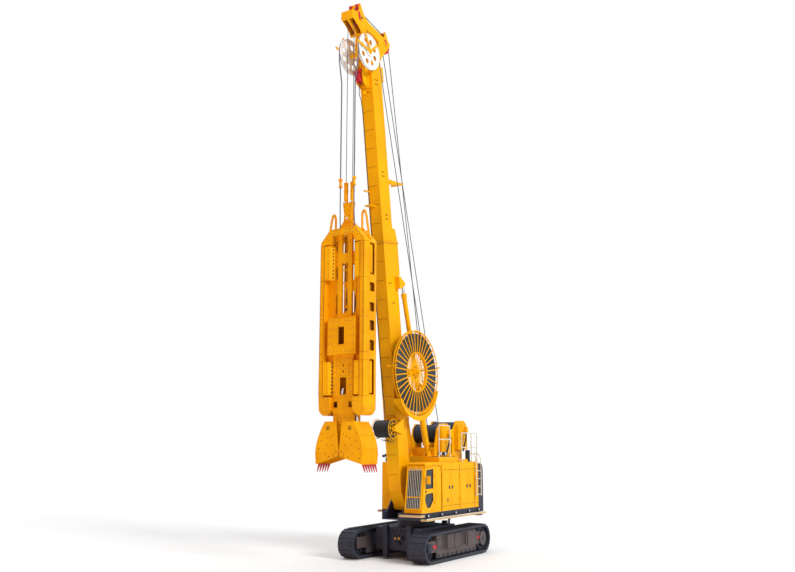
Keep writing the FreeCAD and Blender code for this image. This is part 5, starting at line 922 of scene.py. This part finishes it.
# ---- hose reel ----
def reel_details():
    """Hose wound on the reel, hub with its swivel, rim tubes, spoke ribs and the guides at the rim."""
    c = REEL_C
    on_reel = partial(piece, "hose_reel", place=MAST)
    on_reel("reel_hose", RUBBER, [winding(c, y, y, 0.845, 18, 0.0212, 44, 0.0435) for y in (0.818, 0.862)])
    rims = [sweep(circle((c.x, y, c.z), Y, r, 96), 0.019, 6, closed=True) for y in REEL_Y
            for r in (REEL_R - 0.016, REEL_RING_R + 0.004)]
    angles = row(0.0, pi / 18, 36)
    rims += [sweep([polar(c, REEL_R - 0.02, t, y) for y in REEL_Y], 0.012, 6) for t in angles]
    on_reel("reel_rims", YELLOW, rims)
    ribs = [sweep([polar(c, r, t, y), polar(c, REEL_R - 0.03, t, y)], 0.011, 5) for t in angles
            for y, r in ((REEL_Y[0] - 0.004, 0.3), (REEL_Y[1] + 0.004, REEL_RING_R))]
    on_reel("reel_spoke_ribs", YELLOW, ribs)
    hub = [ring((c.x, 0.8, c.z), Y, 0.3, 0.262, 0.03),
           lathe_y(c.x, c.z, 0.79, 0.88, [(0, 0.165), (0.7, 0.165), (1, 0.15)], 32)]
    on_reel("reel_hub", YELLOW, hub, 0.004)
    on_reel("reel_hub_bolts", DARK, bolt_ring((c.x, 0.792, c.z), Y, 0.24, 12, 0.015, 0.014, 0.26))
    swivel = [lathe_y(c.x, c.z, 0.918, 1.02, [(0, 0.105), (0.3, 0.105), (0.35, 0.075), (0.85, 0.075),
                                              (1, 0.055)], 28)]
    swivel += bolt_ring((c.x, 0.948, c.z), Y, 0.09, 6, 0.01, 0.012)
    on_mast("reel_swivel", YELLOW, swivel)
    guides = []
    for t in (radians(178), radians(12)):
        x, _, z = polar(c, REEL_R + 0.07, t, 0.0)
        guides += [hose([(x, 0.6, z), (x, 0.95, z), (x - 0.1 * cos(t), 0.965, z + 0.02)], 0.02),
                   block(x - 0.05, x + 0.05, 0.54, 0.62, z - 0.05, z + 0.05),
                   sweep([(x, 0.58, z), (c.x * 0.35 + x * 0.65, 0.58, c.z * 0.35 + z * 0.65),
                          (c.x * 0.8 + x * 0.2, 0.56, c.z * 0.8 + z * 0.2), (c.x, 0.45, c.z)], 0.022)]
    on_mast("reel_guides", YELLOW, guides)
    disc = to_mast(centre_of("hose_disc_left"))
    r = radius_of("hose_disc_left") - 0.02
    x = disc.x - r * 0.995
    lead = sweep([(x, disc.y, disc.z + r * 0.1), (x - 0.06, disc.y + 0.01, disc.z - 0.6),
                  (c.x - 0.56, 0.835, c.z + 1.72), (c.x - 0.585, 0.84, c.z + 1.5)], 0.019)
    on_mast("reel_lead_hose", HOSE, [lead])


# ---- cable drum on the mast's front ----
def cable_drum_look():
    """Open cable drum: two rings on arms, a shaft and the coil of cable between them."""
    c = CABLE_C
    on_drum = partial(piece, "cable_drum", place=MAST)
    ends = (-0.205, 0.585)
    rings = []
    for y in ends:
        rings += [sweep(circle((c.x, y, c.z), Y, 0.385, 56), 0.015, closed=True),
                  sweep(circle((c.x, y, c.z), Y, 0.235, 40), 0.013, closed=True),
                  lathe_y(c.x, c.z, y - 0.02, y + 0.02, [(0, 0.09), (0.5, 0.1), (1, 0.09)], 28)]
        rings += [sweep([polar(c, 0.05, t, y), polar(c, 0.385, t, y)], 0.014, 6) for t in row(0.3, pi / 3, 6)]
    rings += [sweep([polar(c, 0.225, t, y) for y in ends], 0.011, 6) for t in row(0.0, pi / 6, 12)]
    rings.append(rod((c.x, -0.215, c.z), (c.x, 0.595, c.z), 0.036))
    on_drum("cable_drum_frame", YELLOW, rings, replaces=("cable_drum",))
    on_drum("cable_coil", RUBBER, [winding(c, -0.175, 0.555, r, 19, 0.0185, 28) for r in (0.262, 0.3, 0.336)])
    x = MAST_FRONT
    loops = [hose([(x + 0.02, y, c.z - 0.34), (x + 0.22, y + 0.02, c.z - 0.52 - sag),
                   (c.x - 0.18, y, c.z - 0.5),
                   (c.x - 0.05, y - 0.02, c.z - 0.415)], 0.013)
             for y, sag in ((-0.05, 0.0), (0.07, 0.04), (0.19, 0.08))]
    on_mast("cable_loops", RUBBER, loops)
    heads = [(x + 0.1, y + dy, c.z + dz) for y in (-0.24, 0.62) for dy in (-0.012, 0.012)
             for dz in (-0.24, 0.24)]
    on_mast("cable_bracket_bolts", DARK, bolts(heads, X, 0.014, 0.014))


# ---- mast head ----
def head_details():
    """Axle caps, bolts, red marks, ribs, rope keepers and covers of the sheave housings."""
    y = HEAD_HALF
    caps = []
    heads = []
    for c in map(to_mast, (FRONT_AXLE, REAR_AXLE)):
        for s in (1, -1):
            caps.append(lathe_y(c.x, c.z, s * (y - 0.004), s * (y + 0.024),
                                [(0, 0.15), (0.6, 0.15), (1, 0.129)], 28))
            heads += bolt_ring((c.x, s * (y + 0.02), c.z), (0, s, 0), 0.105, 6, 0.014, 0.014)
    on_mast("head_axle_caps", YELLOW, caps)
    on_mast("head_axle_bolts", DARK, heads)
    marks = []
    for place, half in (((4.99, 0.0, 22.218), 0.15), ((2.968, 0.0, 21.87), 0.1)):
        x, _, z = to_mast(place)
        marks.append(extrude([(x - 0.085, z - half), (x + 0.03, z - half - 0.02), (x + 0.085, z + half),
                              (x - 0.03, z + half + 0.02)], "y", y - 0.002, y + 0.028))
    on_mast("head_red_marks", RED, both(marks), 0.003)
    ribs = [sweep([(x, y + 0.001, z) for x, z in points], 0.012, 6) for points in (
        ((-0.05, 19.28), (-0.24, 19.55), (-0.2, 19.72), (0.18, 19.87), (0.58, 19.98)),
        ((0.7, 19.86), (1.01, 19.7), (1.12, 19.93), (1.52, 20.24)))]
    on_mast("head_ribs", YELLOW, both(ribs))
    c = to_mast(FRONT_AXLE)
    keepers = [sweep([polar(c, 0.445, t, s * ROPE_Y) for t in row(radians(20), radians(12), 7)], 0.01, 6)
               for s in (1, -1)]
    on_mast("rope_keepers", DARK, keepers)
    covers = []
    for c, r, start, end in ((FRONT_AXLE, 0.6, 66, 100), (REAR_AXLE, 0.475, 62, 100)):
        arc = [(c.x + r * cos(t), c.z + r * sin(t))
               for t in row(radians(start), radians(end - start) / 10, 11)]
        covers.append(extrude([(c.x, c.z)] + arc, "y", ROPE_Y - 0.055, ROPE_Y + 0.055))
    piece("mast", "sheave_covers", RED, both(covers), 0.008)


def disc_details():
    """Hub, rim rings and bolts of the two hose discs."""
    for side, s in (("left", 1), ("right", -1)):
        node = f"hose_disc_{side}"
        c = centre_of(node)
        r = radius_of(node)
        inner, face = [corner[1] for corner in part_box(node)][::s]
        rims = [lathe_y(c.x, c.z, face - s * 0.002, face + s * 0.024, [(0, 0.19), (0.6, 0.19), (1, 0.16)],
                        32)]
        rims += [ring((c.x, y, c.z), Y, r - 0.004, r - 0.045, 0.014, 64)
                 for y in (face + s * 0.003, inner - s * 0.003)]
        piece(node, f"{node}_rims", WHITE, rims)
        places = circle((c.x, face + s * 0.02, c.z), Y, 0.125, 8)
        piece(node, f"{node}_bolts", BRIGHT, bolts(places, (0, s, 0), 0.014, 0.012))


# ---- ropes and hoses that follow the motion ----
def mast_ropes():
    """Hoist ropes over the sheaves and down behind the mast to the drums."""
    front = FRONT_AXLE
    rear = REAR_AXLE
    r_front = ROPE_X - front.x
    lift = asin((r_front - REAR_ROPE_R) / (front - rear).length)
    lean = pi / 2 + atan2(front.z - rear.z, front.x - rear.x) - lift
    over = []
    tails = []
    for s, drum in ((1, DRUMS["front"]), (-1, DRUMS["rear"])):
        y = s * ROPE_Y
        line = rear - drum - Vector((0.37, 0.0, 0.1))
        away = atan2(line.z, line.x) + pi / 2 + asin(REAR_ROPE_R / line.length)
        points = [polar(front, r_front, t, y) for t in row(0.0, lean / 12, 13)]
        points += [polar(rear, REAR_ROPE_R, t, y) for t in row(lean, (away - lean) / 8, 9)]
        over.append(sweep(points, ROPE_R * 1.25))
        leave = Vector(points[-1])
        fall = Vector((drum.x + 0.375, y + 0.02, drum.z + 0.03)) - leave
        tails.append([leave + fall * share for share in row(0.0, 1 / 40, 41)])
    piece("mast", "ropes_over_head", ROPE, over)
    for name, tail in zip(("rope_to_front_drum", "rope_to_rear_drum"), tails):
        obj = piece(None, name, ROPE, [sweep(tail, ROPE_R * 1.25)])
        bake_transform(obj)


def falls():
    """Upper lengths of the hoses, and lower lengths of ropes and hoses that slide out of the upper ones."""
    lows = [rod((GRAB_MID, s * ROPE_Y, 14.05), (GRAB_MID, s * ROPE_Y, 17.35), 0.0132, 8) for s in (1, -1)]
    on_grab("rope_lower_lengths", ROPE, lows)
    disc = centre_of("hose_disc_left")
    r = radius_of("hose_disc_left") - 0.02
    start = disc.x + r
    x = start + 0.02
    uppers = []
    lowers = []
    bobbins = []
    for s in (1, -1):
        y = s * 0.335
        arc = [polar(disc, r, radians(a), s * disc.y) for a in (100, 80, 60, 40, 20, 0)]
        uppers.append(sweep(arc + [(start + 0.01, s * disc.y, disc.z - 0.45), (x, y, 19.2), (x, y, 15.12)],
                            0.026, 10))
        lowers.append(rod((x, y, 14.8), (x, y, 17.6), 0.0246, 10))
        lowers.append(hose([(x, y, 14.85), (x, y, 13.9), (start, y * 1.02, 13.35),
                            (start - 0.03, y * 1.04, 12.95)],
                           0.0226, 10))
        bobbins += [ring((x, y, z), Z, r_out, 0.03, tall, 24)
                    for z, r_out, tall in ((14.91, 0.05, 0.36), (14.76, 0.076, 0.06), (15.05, 0.084, 0.08))]
    piece("rope_falls", "hose_upper_lengths", HOSE, uppers)
    on_grab("hose_lower_lengths", HOSE, lowers)
    on_grab("hose_bobbins", GRAB_PAINT, bobbins)


# ---- grab ----
def grab_sides():
    """Frames round the side openings, painted shade at the backs of the openings, and seams and bolts on the
    columns drawn in painted shade.
    """
    y = SIDE
    frames = [sweep([(x, y + 0.002, z) for x, z in rounded(5.012, 5.348, z0 - 0.008, z1 + 0.008, 0.05)],
                    0.013, 6, closed=True) for z0, z1 in SIDE_SLOTS]
    frames += [block(4.96, 5.4, y - 0.002, y + 0.006, z - 0.008, z + 0.008)
               for z in (6.35, 8.0, 9.42, 10.86, 12.34)]
    on_grab("column_slot_frames", GRAB_PAINT, both(frames))
    # Backs of the middle openings in painted shade.
    shade_backs = [block(5.03, 5.33, y - 0.16, y - 0.12, z0 + 0.02, z1 - 0.02) for z0, z1 in SIDE_SLOTS[1:5]]
    on_grab("column_slot_backs", PAINTED_SHADE, both(shade_backs), 0.01)
    bars = [block(5.1, 5.26, y - 0.06, y - 0.03, z0 + 0.06, z1 - 0.06) for z0, z1 in SIDE_SLOTS[::5]]
    on_grab("column_slot_bars", GRAB_PAINT, both(bars), 0.02)
    # Bolt heads in painted shade.
    heads = [(FACE, 0.99, z) for z in row(6.5, 0.38, 16)]
    on_grab("column_bolts", PAINTED_SHADE, both(bolts(heads, X, 0.011, 0.01)), slot="dark_paint")
    # Seam lines of painted shade.
    x = FACE + 0.001
    seams = [sweep([(x, y, 6.4), (x, y, 12.32)], 0.012, 5) for y in (0.852, 1.026)]
    seams += [sweep([(x, 0.86, z), (x, 1.03, z), (5.424, SIDE + 0.001, z)], 0.007, 5)
              for z in (6.37, 7.72, 8.02, 9.38, 10.9, 12.33)]
    on_grab("column_seams", PAINTED_SHADE, both(seams))


def grab_pad_marks():
    """Rows of slots on the slanted faces of the wear pads, drawn as dark marks of painted shade, and the
    pads' rims.
    """
    a = Vector((5.3, 0.48, 0.0))
    way = Vector((0.32, 0.13, 0.0))
    along = way.normalized()
    out = Vector((along.y, -along.x, 0.0))
    middle = a + way * 0.5 + out * 0.002
    corners = [middle + along * (0.022 * i) + out * (0.006 * j) for i,
               j in ((-1, -1), (1, -1), (1, 1), (-1, 1))]
    x = FACE + 0.001
    shade_dashes = []
    rims = []
    for z0, z1 in PADS:
        # Each slot is a small dark block of painted shade standing on the face.
        shade_dashes += [extrude([p.xy for p in corners], "z", z - 0.034, z + 0.034)
                   for z in row(z0 + 0.11, 0.14, int((z1 - z0) / 0.14))]
        rim = [(*(a + way * share + out * 0.003).xy, z) for share, z in (
            (0.04, z0 + 0.04), (0.96, z0 + 0.04), (0.96, z1 - 0.04), (0.04, z1 - 0.04))]
        rims.append(sweep(rim, 0.012, 6, closed=True))
        rims += [sweep([(x, y, z0 + 0.05), (x, y, z1 - 0.05)], 0.01, 6) for y in (0.63, 0.83)]
        rims += [sweep([(x, 0.63, z), (x, 0.83, z)], 0.009, 6) for z in (z0 + 0.05, z1 - 0.05, (z0 + z1) / 2)]
    on_grab("pad_slots", DARK, both(shade_dashes))
    on_grab("pad_rims", GRAB_PAINT, both(rims))


def gusset(x, z, up):
    """Curved corner plate from a rail to a column."""
    y0 = 0.335
    y1 = 0.487
    arc = [(y0 + (y1 - y0) * sin(t), z + up * (0.39 - 0.34 * cos(t))) for t in row(0.0, pi / 16, 9)]
    return extrude([(y0, z - up * 0.06), (y1, z - up * 0.06)] + arc[::-1], "x", x - 0.012, x + 0.012)


def grab_centre():
    """Gussets, recess panel with its square hole, rims and bolts of the centre box, core plates."""
    plates = [gusset(x, z, up) for z, up in ((11.6, -1), (11.96, 1), (9.46, 1), (12.66, -1), (10.84, 1),
                                             (10.5, -1))
              for x in (5.33, 5.05)]
    plates += [block(5.05, 5.33, 0.335, 0.487, z0, z1) for z0, z1 in ((11.62, 11.94), (10.56, 10.78))]
    on_grab("grab_gussets", GRAB_PAINT, both(plates), 0.004)
    panel = [block(*limits) for limits in (
        (5.205, 5.235, -0.15, 0.15, 10.22, 10.79), (5.205, 5.235, -0.15, 0.15, 9.6, 9.93),
        (5.205, 5.235, -0.15, -0.09, 9.93, 10.22), (5.205, 5.235, 0.09, 0.15, 9.93, 10.22),
        (5.18, 5.3, -0.15, 0.15, 10.78, 10.84), (5.18, 5.3, -0.15, 0.15, 11.3, 11.36))]
    panel.append(rim_on_face(5.237, rounded(-0.09, 0.09, 9.93, 10.22, 0.02), 0.008))
    on_grab("recess_panel", GRAB_PAINT, panel, 0.004)
    x = FACE + 0.001
    rims = [rim_on_face(x, rounded(-0.15, 0.15, 8.345, 9.035, 0.03), 0.012),
            rim_on_face(x, rounded(-0.625, 0.625, 7.98, 9.38, 0.05), 0.009)]
    rims += [sweep([(x, y, 8.0), (x, y, 9.36)], 0.006, 5) for y in (-0.3, 0.3)]
    on_grab("centre_box_rims", GRAB_PAINT, rims)
    heads = [(FACE, y, z) for y, start in ((0.44, 8.08), (0.53, 8.15), (0.58, 8.08))
             for z in row(start, 0.29, 5)]
    heads += [(FACE, y, z) for y in (0.2, 0.32) for z in (8.1, 9.26)]
    on_grab("centre_box_bolts", DARK, both(bolts(heads, X, 0.011, 0.01)))
    core = [block(5.46, 5.475, 0.3, 0.45, 6.45, 7.85), block(5.46, 5.475, 0.19, 0.27, 7.15, 7.85),
            block(5.46, 5.48, 0.17, 0.45, 6.38, 6.43)]
    on_grab("core_plates", GRAB_PAINT, both(core), 0.005)
    heads = [(5.475, y, z) for y in (0.325, 0.425) for z in (6.55, 6.8, 7.05, 7.3, 7.55, 7.78)]
    heads += [(5.46, 0.1, z) for z in (6.4, 7.18, 7.42, 7.68, 7.88)]
    on_grab("core_bolts", DARK, both(bolts(heads, X, 0.012, 0.012)))
    arc = [(0.472 + 0.136 * sin(t), 7.15 - 0.57 * cos(t)) for t in row(0.0, pi / 10, 11)]
    web = extrude([(0.472, 6.4), *arc, (0.472, 7.9)], "x", 5.1, 5.13)
    on_grab("core_webs", GRAB_PAINT, both([web]), 0.004)


def grab_top():
    """Yoke cheeks, pins and bolts, collars of the rope sockets and the loops' feet."""
    x = GRAB_MID
    outline = [(-0.17, 13.26), (0.17, 13.26), (0.155, 13.62), (0.21, 13.98), (-0.21, 13.98), (-0.155, 13.62)]
    cheeks = [extrude(outline, "x", x + a, x + a + 0.027) for a in (-0.125, 0.098)]
    cheeks += [block(x - 0.16, x + 0.16, y - 0.012, y + 0.012, 12.95, 13.06)
               for y in (-0.42, -0.25, 0.25, 0.42)]
    cheeks.append(block(x - 0.24, x + 0.24, -0.56, 0.56, 12.948, 12.972))
    on_grab("yoke_cheeks", GRAB_PAINT, cheeks, 0.006)
    pins = [rod((x - 0.165, 0.0, 13.42), (x + 0.165, 0.0, 13.42), 0.048)]
    pins += [rod((x + a, y, 14.1), (x + a + 0.067, y, 14.1), 0.048) for y in (-ROPE_Y, ROPE_Y)
             for a in (-0.145, 0.078)]
    on_grab("yoke_pins", BRIGHT, pins)
    heads = [(x + 0.125, y, z) for y in (-0.13, 0.13) for z in (13.32, 13.52, 13.72, 13.9)]
    heads += [(FACE, y, z) for y in (-0.48, -0.36, -0.24, -0.12, 0.12, 0.24, 0.36, 0.48)
              for z in (12.75, 12.89)]
    heads += [(FACE, s * (0.66 + 0.09 * i), 12.82 - 0.1 * i) for s in (1, -1) for i in range(4)]
    on_grab("yoke_bolts", DARK, bolts(heads, X, 0.013, 0.014))
    collars = [ring((x, y, z), Z, r, 0.08, tall, 28) for y in (-ROPE_Y, ROPE_Y)
               for z, tall, r in ((14.065, 0.07, 0.1), (14.575, 0.05, 0.095), (14.895, 0.07, 0.093))]
    on_grab("socket_collars", GRAB_PAINT, collars)
    feet = [lathe_z(x, y, z - 0.02, z + 0.05, [(0, 0.085), (0.5, 0.085), (1, 0.055)])
            for y, z in ((0.64, 12.925), (1.0, 12.52))]
    on_grab("loop_feet", GRAB_PAINT, both(feet))


def grab_hoses():
    """Hydraulic lines inside the frame from the top to the closing cylinder."""
    lines = [hose([(5.26, 0.39, 12.66), (5.24, 0.4, 11.4), (5.2, 0.41, 10.6), (5.24, 0.4, 9.8),
                   (5.18, 0.37, 9.44)],
                  0.021),
             hose([(5.12, 0.42, 12.6), (5.16, 0.36, 12.1), (5.1, 0.41, 11.2), (5.14, 0.4, 10.2),
                   (5.1, 0.42, 9.42)],
                  0.016)]
    middle = hose([(5.28, 0.05, 12.6), (5.2, 0.09, 12.2), (5.24, 0.02, 11.6), (5.18, 0.06, 10.9),
                   (5.24, -0.03, 10.4),
                   (5.2, 0.0, 9.8)], 0.018)
    on_grab("grab_hoses", RUBBER, both(lines) + [middle])
    cap = [lathe_z(GRAB_MID, 0, 9.7, 9.8, [(0, 0.125), (0.5, 0.125), (0.7, 0.09), (1, 0.08)], 28)]
    cap += bolt_ring((GRAB_MID, 0, 9.745), Z, 0.108, 8, 0.01, 0.014)
    on_grab("closing_cylinder_cap", DARK, cap)


def grab_foot():
    """Bolts, ribs and hole rims of the foot and the neck."""
    heads = [(FACE, y, z) for y in (0.6, 0.8, 1.0) for z in (6.2, 6.3)]
    heads += [(5.445, y, z) for y in (0.08, 0.22, 0.38) for z in (5.42, 5.58)]
    on_grab("foot_bolts", DARK, both(bolts(heads, X, 0.013, 0.013)))
    ribs = [block(5.445, 5.47, -0.47, 0.47, z, z + 0.04) for z in (5.69, 5.32)]
    ribs += [block(5.445, 5.462, y - 0.012, y + 0.012, 5.36, 5.69) for y in (-0.36, 0.36)]
    on_grab("neck_ribs", GRAB_PAINT, ribs, 0.005)
    rims = [rim_on_face(5.448, rounded(y0, y0 + 0.21, 5.95, 6.19, 0.05), 0.01) for y0 in (-0.46, 0.25)]
    on_grab("foot_hole_rims", GRAB_PAINT, rims)


def jaw_details(side):
    """Ribs on the shell, tooth adaptors and, on the right, the side cutter of one jaw."""
    body = f"jaw_{side}"

    def on_jaw(name, finish, shapes, bevel=0.0):
        piece(body, name, finish, shapes if side == "left" else map(mirrored, shapes), bevel)

    ribs = [sweep([(x, y + 0.006, z) for y, z in SHELL[4:]] + [(x, 1.072, 3.98)], 0.019, 6)
            for x in row(4.73, 0.15, 7)]
    ribs += [sweep([(x, y + 0.002, z) for y, z in SHELL[2:5]], 0.01, 6) for x in (4.88, 5.48)]
    ribs += [sweep([(x, y + 0.004, z) for y, z in SHELL], 0.012, 6) for x in (4.674, 5.686)]
    ribs += [sweep([(x, y + 0.005, z) for x in (4.68, 5.68)], 0.012, 6) for y, z in (SHELL[2], SHELL[4])]
    on_jaw(f"{body}_ribs", GRAB_PAINT, ribs)
    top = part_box(f"teeth_{side}")[1][2]
    count = TEETH[side]
    adaptors = [extrude([(1.0, top - 0.03), (1.078, top - 0.02), (1.088, top + 0.115), (1.02, top + 0.12)],
                        "x",
                        x - 0.045, x + 0.045)
                for x in row(GRAB_MID - TOOTH_PITCH * (count - 1) / 2, TOOTH_PITCH, count)]
    on_jaw(f"{body}_adaptors", GRAB_PAINT, adaptors, 0.006)
    if side == "right":
        cutter = extrude([(1.055, 4.3), (1.09, 4.27), (1.31, 3.96), (1.18, 4.04), (1.07, 4.12)], "x", 5.12,
                         5.19)
        on_jaw("side_cutter", RED, [cutter], 0.008)


def luff_details():
    """Thick lower sleeve, glands, pipes and clamps of the luffing cylinders."""
    way = (LUFF_EYE - LUFF_FOOT).normalized()
    across = Vector((-way.z, 0.0, way.x))
    sleeves = []
    pipes = []
    for y in (LUFF_Y, -LUFF_Y):
        foot = LUFF_FOOT + Vector((0.0, y, 0.0))
        clamp = foot + way * 5.05
        lug = clamp + way * 0.035 + across * 0.15
        sleeves += [lathe(foot + way * 0.34, foot + way * 1.62,
                          [(0, 0.104), (0.01, 0.15), (0.1, 0.15), (0.11, 0.132), (0.86, 0.132), (0.87, 0.155),
                           (0.97, 0.155), (1, 0.104)], 32),
                    lathe(foot + way * 6.74, foot + way * 6.92,
                          [(0, 0.104), (0.1, 0.122), (0.9, 0.122), (1, 0.1)], 28),
                    lathe(clamp, clamp + way * 0.07, [(0, 0.112), (0.2, 0.12), (0.8, 0.12), (1, 0.112)], 28),
                    rod(lug - across * 0.06, lug + across * 0.05, 0.026, 12)]
        bend = foot + way * 1.75 + across * 0.128
        pipes += [sweep([bend, foot + way * 6.7 + across * 0.128], 0.013),
                  sweep([bend, foot + way * 1.66 + across * 0.14], 0.013)]
    piece("luff_barrels", "cylinder_sleeves", YELLOW, sleeves)
    piece("luff_barrels", "cylinder_pipes", DARK, pipes)


# ---- floor, light and camera ----
def stage():
    """Pale floor that keeps the shadow, and a surround that is white wherever it is seen."""
    h = FLOOR_HALF
    mesh = bpy.data.meshes.new("floor")
    mesh.from_pydata([(-h, -h, -0.002), (h, -h, -0.002), (h, h, -0.002), (-h, h, -0.002)], [], [(0, 1, 2, 3)])
    floor = bpy.data.objects.new("floor", mesh)
    bpy.context.scene.collection.objects.link(floor)
    mat = bpy.data.materials.new("floor_white")
    mat.use_nodes = True
    shader = mat.node_tree.nodes["Principled BSDF"]
    feed(mat.node_tree, shader, {"Base Color": (0.96, 0.96, 0.96, 1.0), "Roughness": 0.9})
    mesh.materials.append(mat)

    world = bpy.data.worlds.new("surround")
    bpy.context.scene.world = world
    world.use_nodes = True
    tree = world.node_tree
    made = maker(tree)
    backdrop = tree.nodes["Background"]
    feed(tree, backdrop, {"Color": (1.0, 1.0, 1.0, 1.0), "Strength": 1.0})
    sky = made("Background", {"Color": (0.93, 0.96, 1.0, 1.0), "Strength": SKY_STRENGTH})["Background"]
    path = made("LightPath", {})
    plain = path["Is Camera Ray"]
    for kind in ("Is Transmission Ray", "Is Glossy Ray"):
        plain = made("Math", {0: plain, 1: path[kind]}, operation="MAXIMUM")["Value"]
    seen = made("MixShader", {0: plain, 1: sky, 2: backdrop.outputs["Background"]})["Shader"]
    feed(tree, tree.nodes["World Output"], {"Surface": seen})


def lamp(name, direction, strength, angle, colour):
    """Distant soft lamp that shines along a direction."""
    data = bpy.data.lights.new(name, "SUN")
    data.energy = strength
    data.angle = radians(angle)
    data.color = colour
    obj = bpy.data.objects.new(name, data)
    obj.rotation_mode = "QUATERNION"
    obj.rotation_quaternion = Vector(direction).to_track_quat("-Z", "Y")
    bpy.context.scene.collection.objects.link(obj)


def camera():
    """Camera in front of the machine's left corner, near the ground and looking up."""
    heading = Vector((-0.85025, -0.52638, 0.0))
    pitch = radians(10.747)
    aim = heading * cos(pitch) + Vector(Z) * sin(pitch)
    data = bpy.data.cameras.new("camera")
    data.sensor_width = 36.0
    data.lens = 38.49
    data.clip_end = 1000.0
    obj = bpy.data.objects.new("camera", data)
    obj.location = (32.064, 18.92, 4.47)
    obj.rotation_mode = "QUATERNION"
    obj.rotation_quaternion = aim.to_track_quat("-Z", "Y")
    bpy.context.scene.collection.objects.link(obj)
    bpy.context.scene.camera = obj


for build in (finish_nodes, track_sides, sprocket_teeth, carbody_fittings, cab_guard, cab_trim, door_fittings,
              cab_inside, seat_pads, house_trim, service_door_trim, ladder, roof_trim, house_front_face,
              winch_details, rail_fittings, walkway_treads, counterweight_trim, mast_trim, mast_front_gear,
              reel_details, cable_drum_look, head_details, disc_details, mast_ropes, falls, grab_sides,
              grab_pad_marks, grab_centre, grab_top, grab_hoses, grab_foot):
    build()
jaw_details("left")
jaw_details("right")
luff_details()
stage()
lamp("key", (-0.22, -0.88, -0.42), 2.15, 20.0, (1.0, 0.99, 0.96))
lamp("front", (-0.99, 0.1, 0.0), 1.0, 20.0, (1.0, 0.36, 0.12))
lamp("top", (0.0, 0.0, -1.0), 1.75, 60.0, (1.0, 1.0, 1.0))
camera()
bpy.context.scene.view_settings.view_transform = "Standard"
bpy.context.view_layer.update()
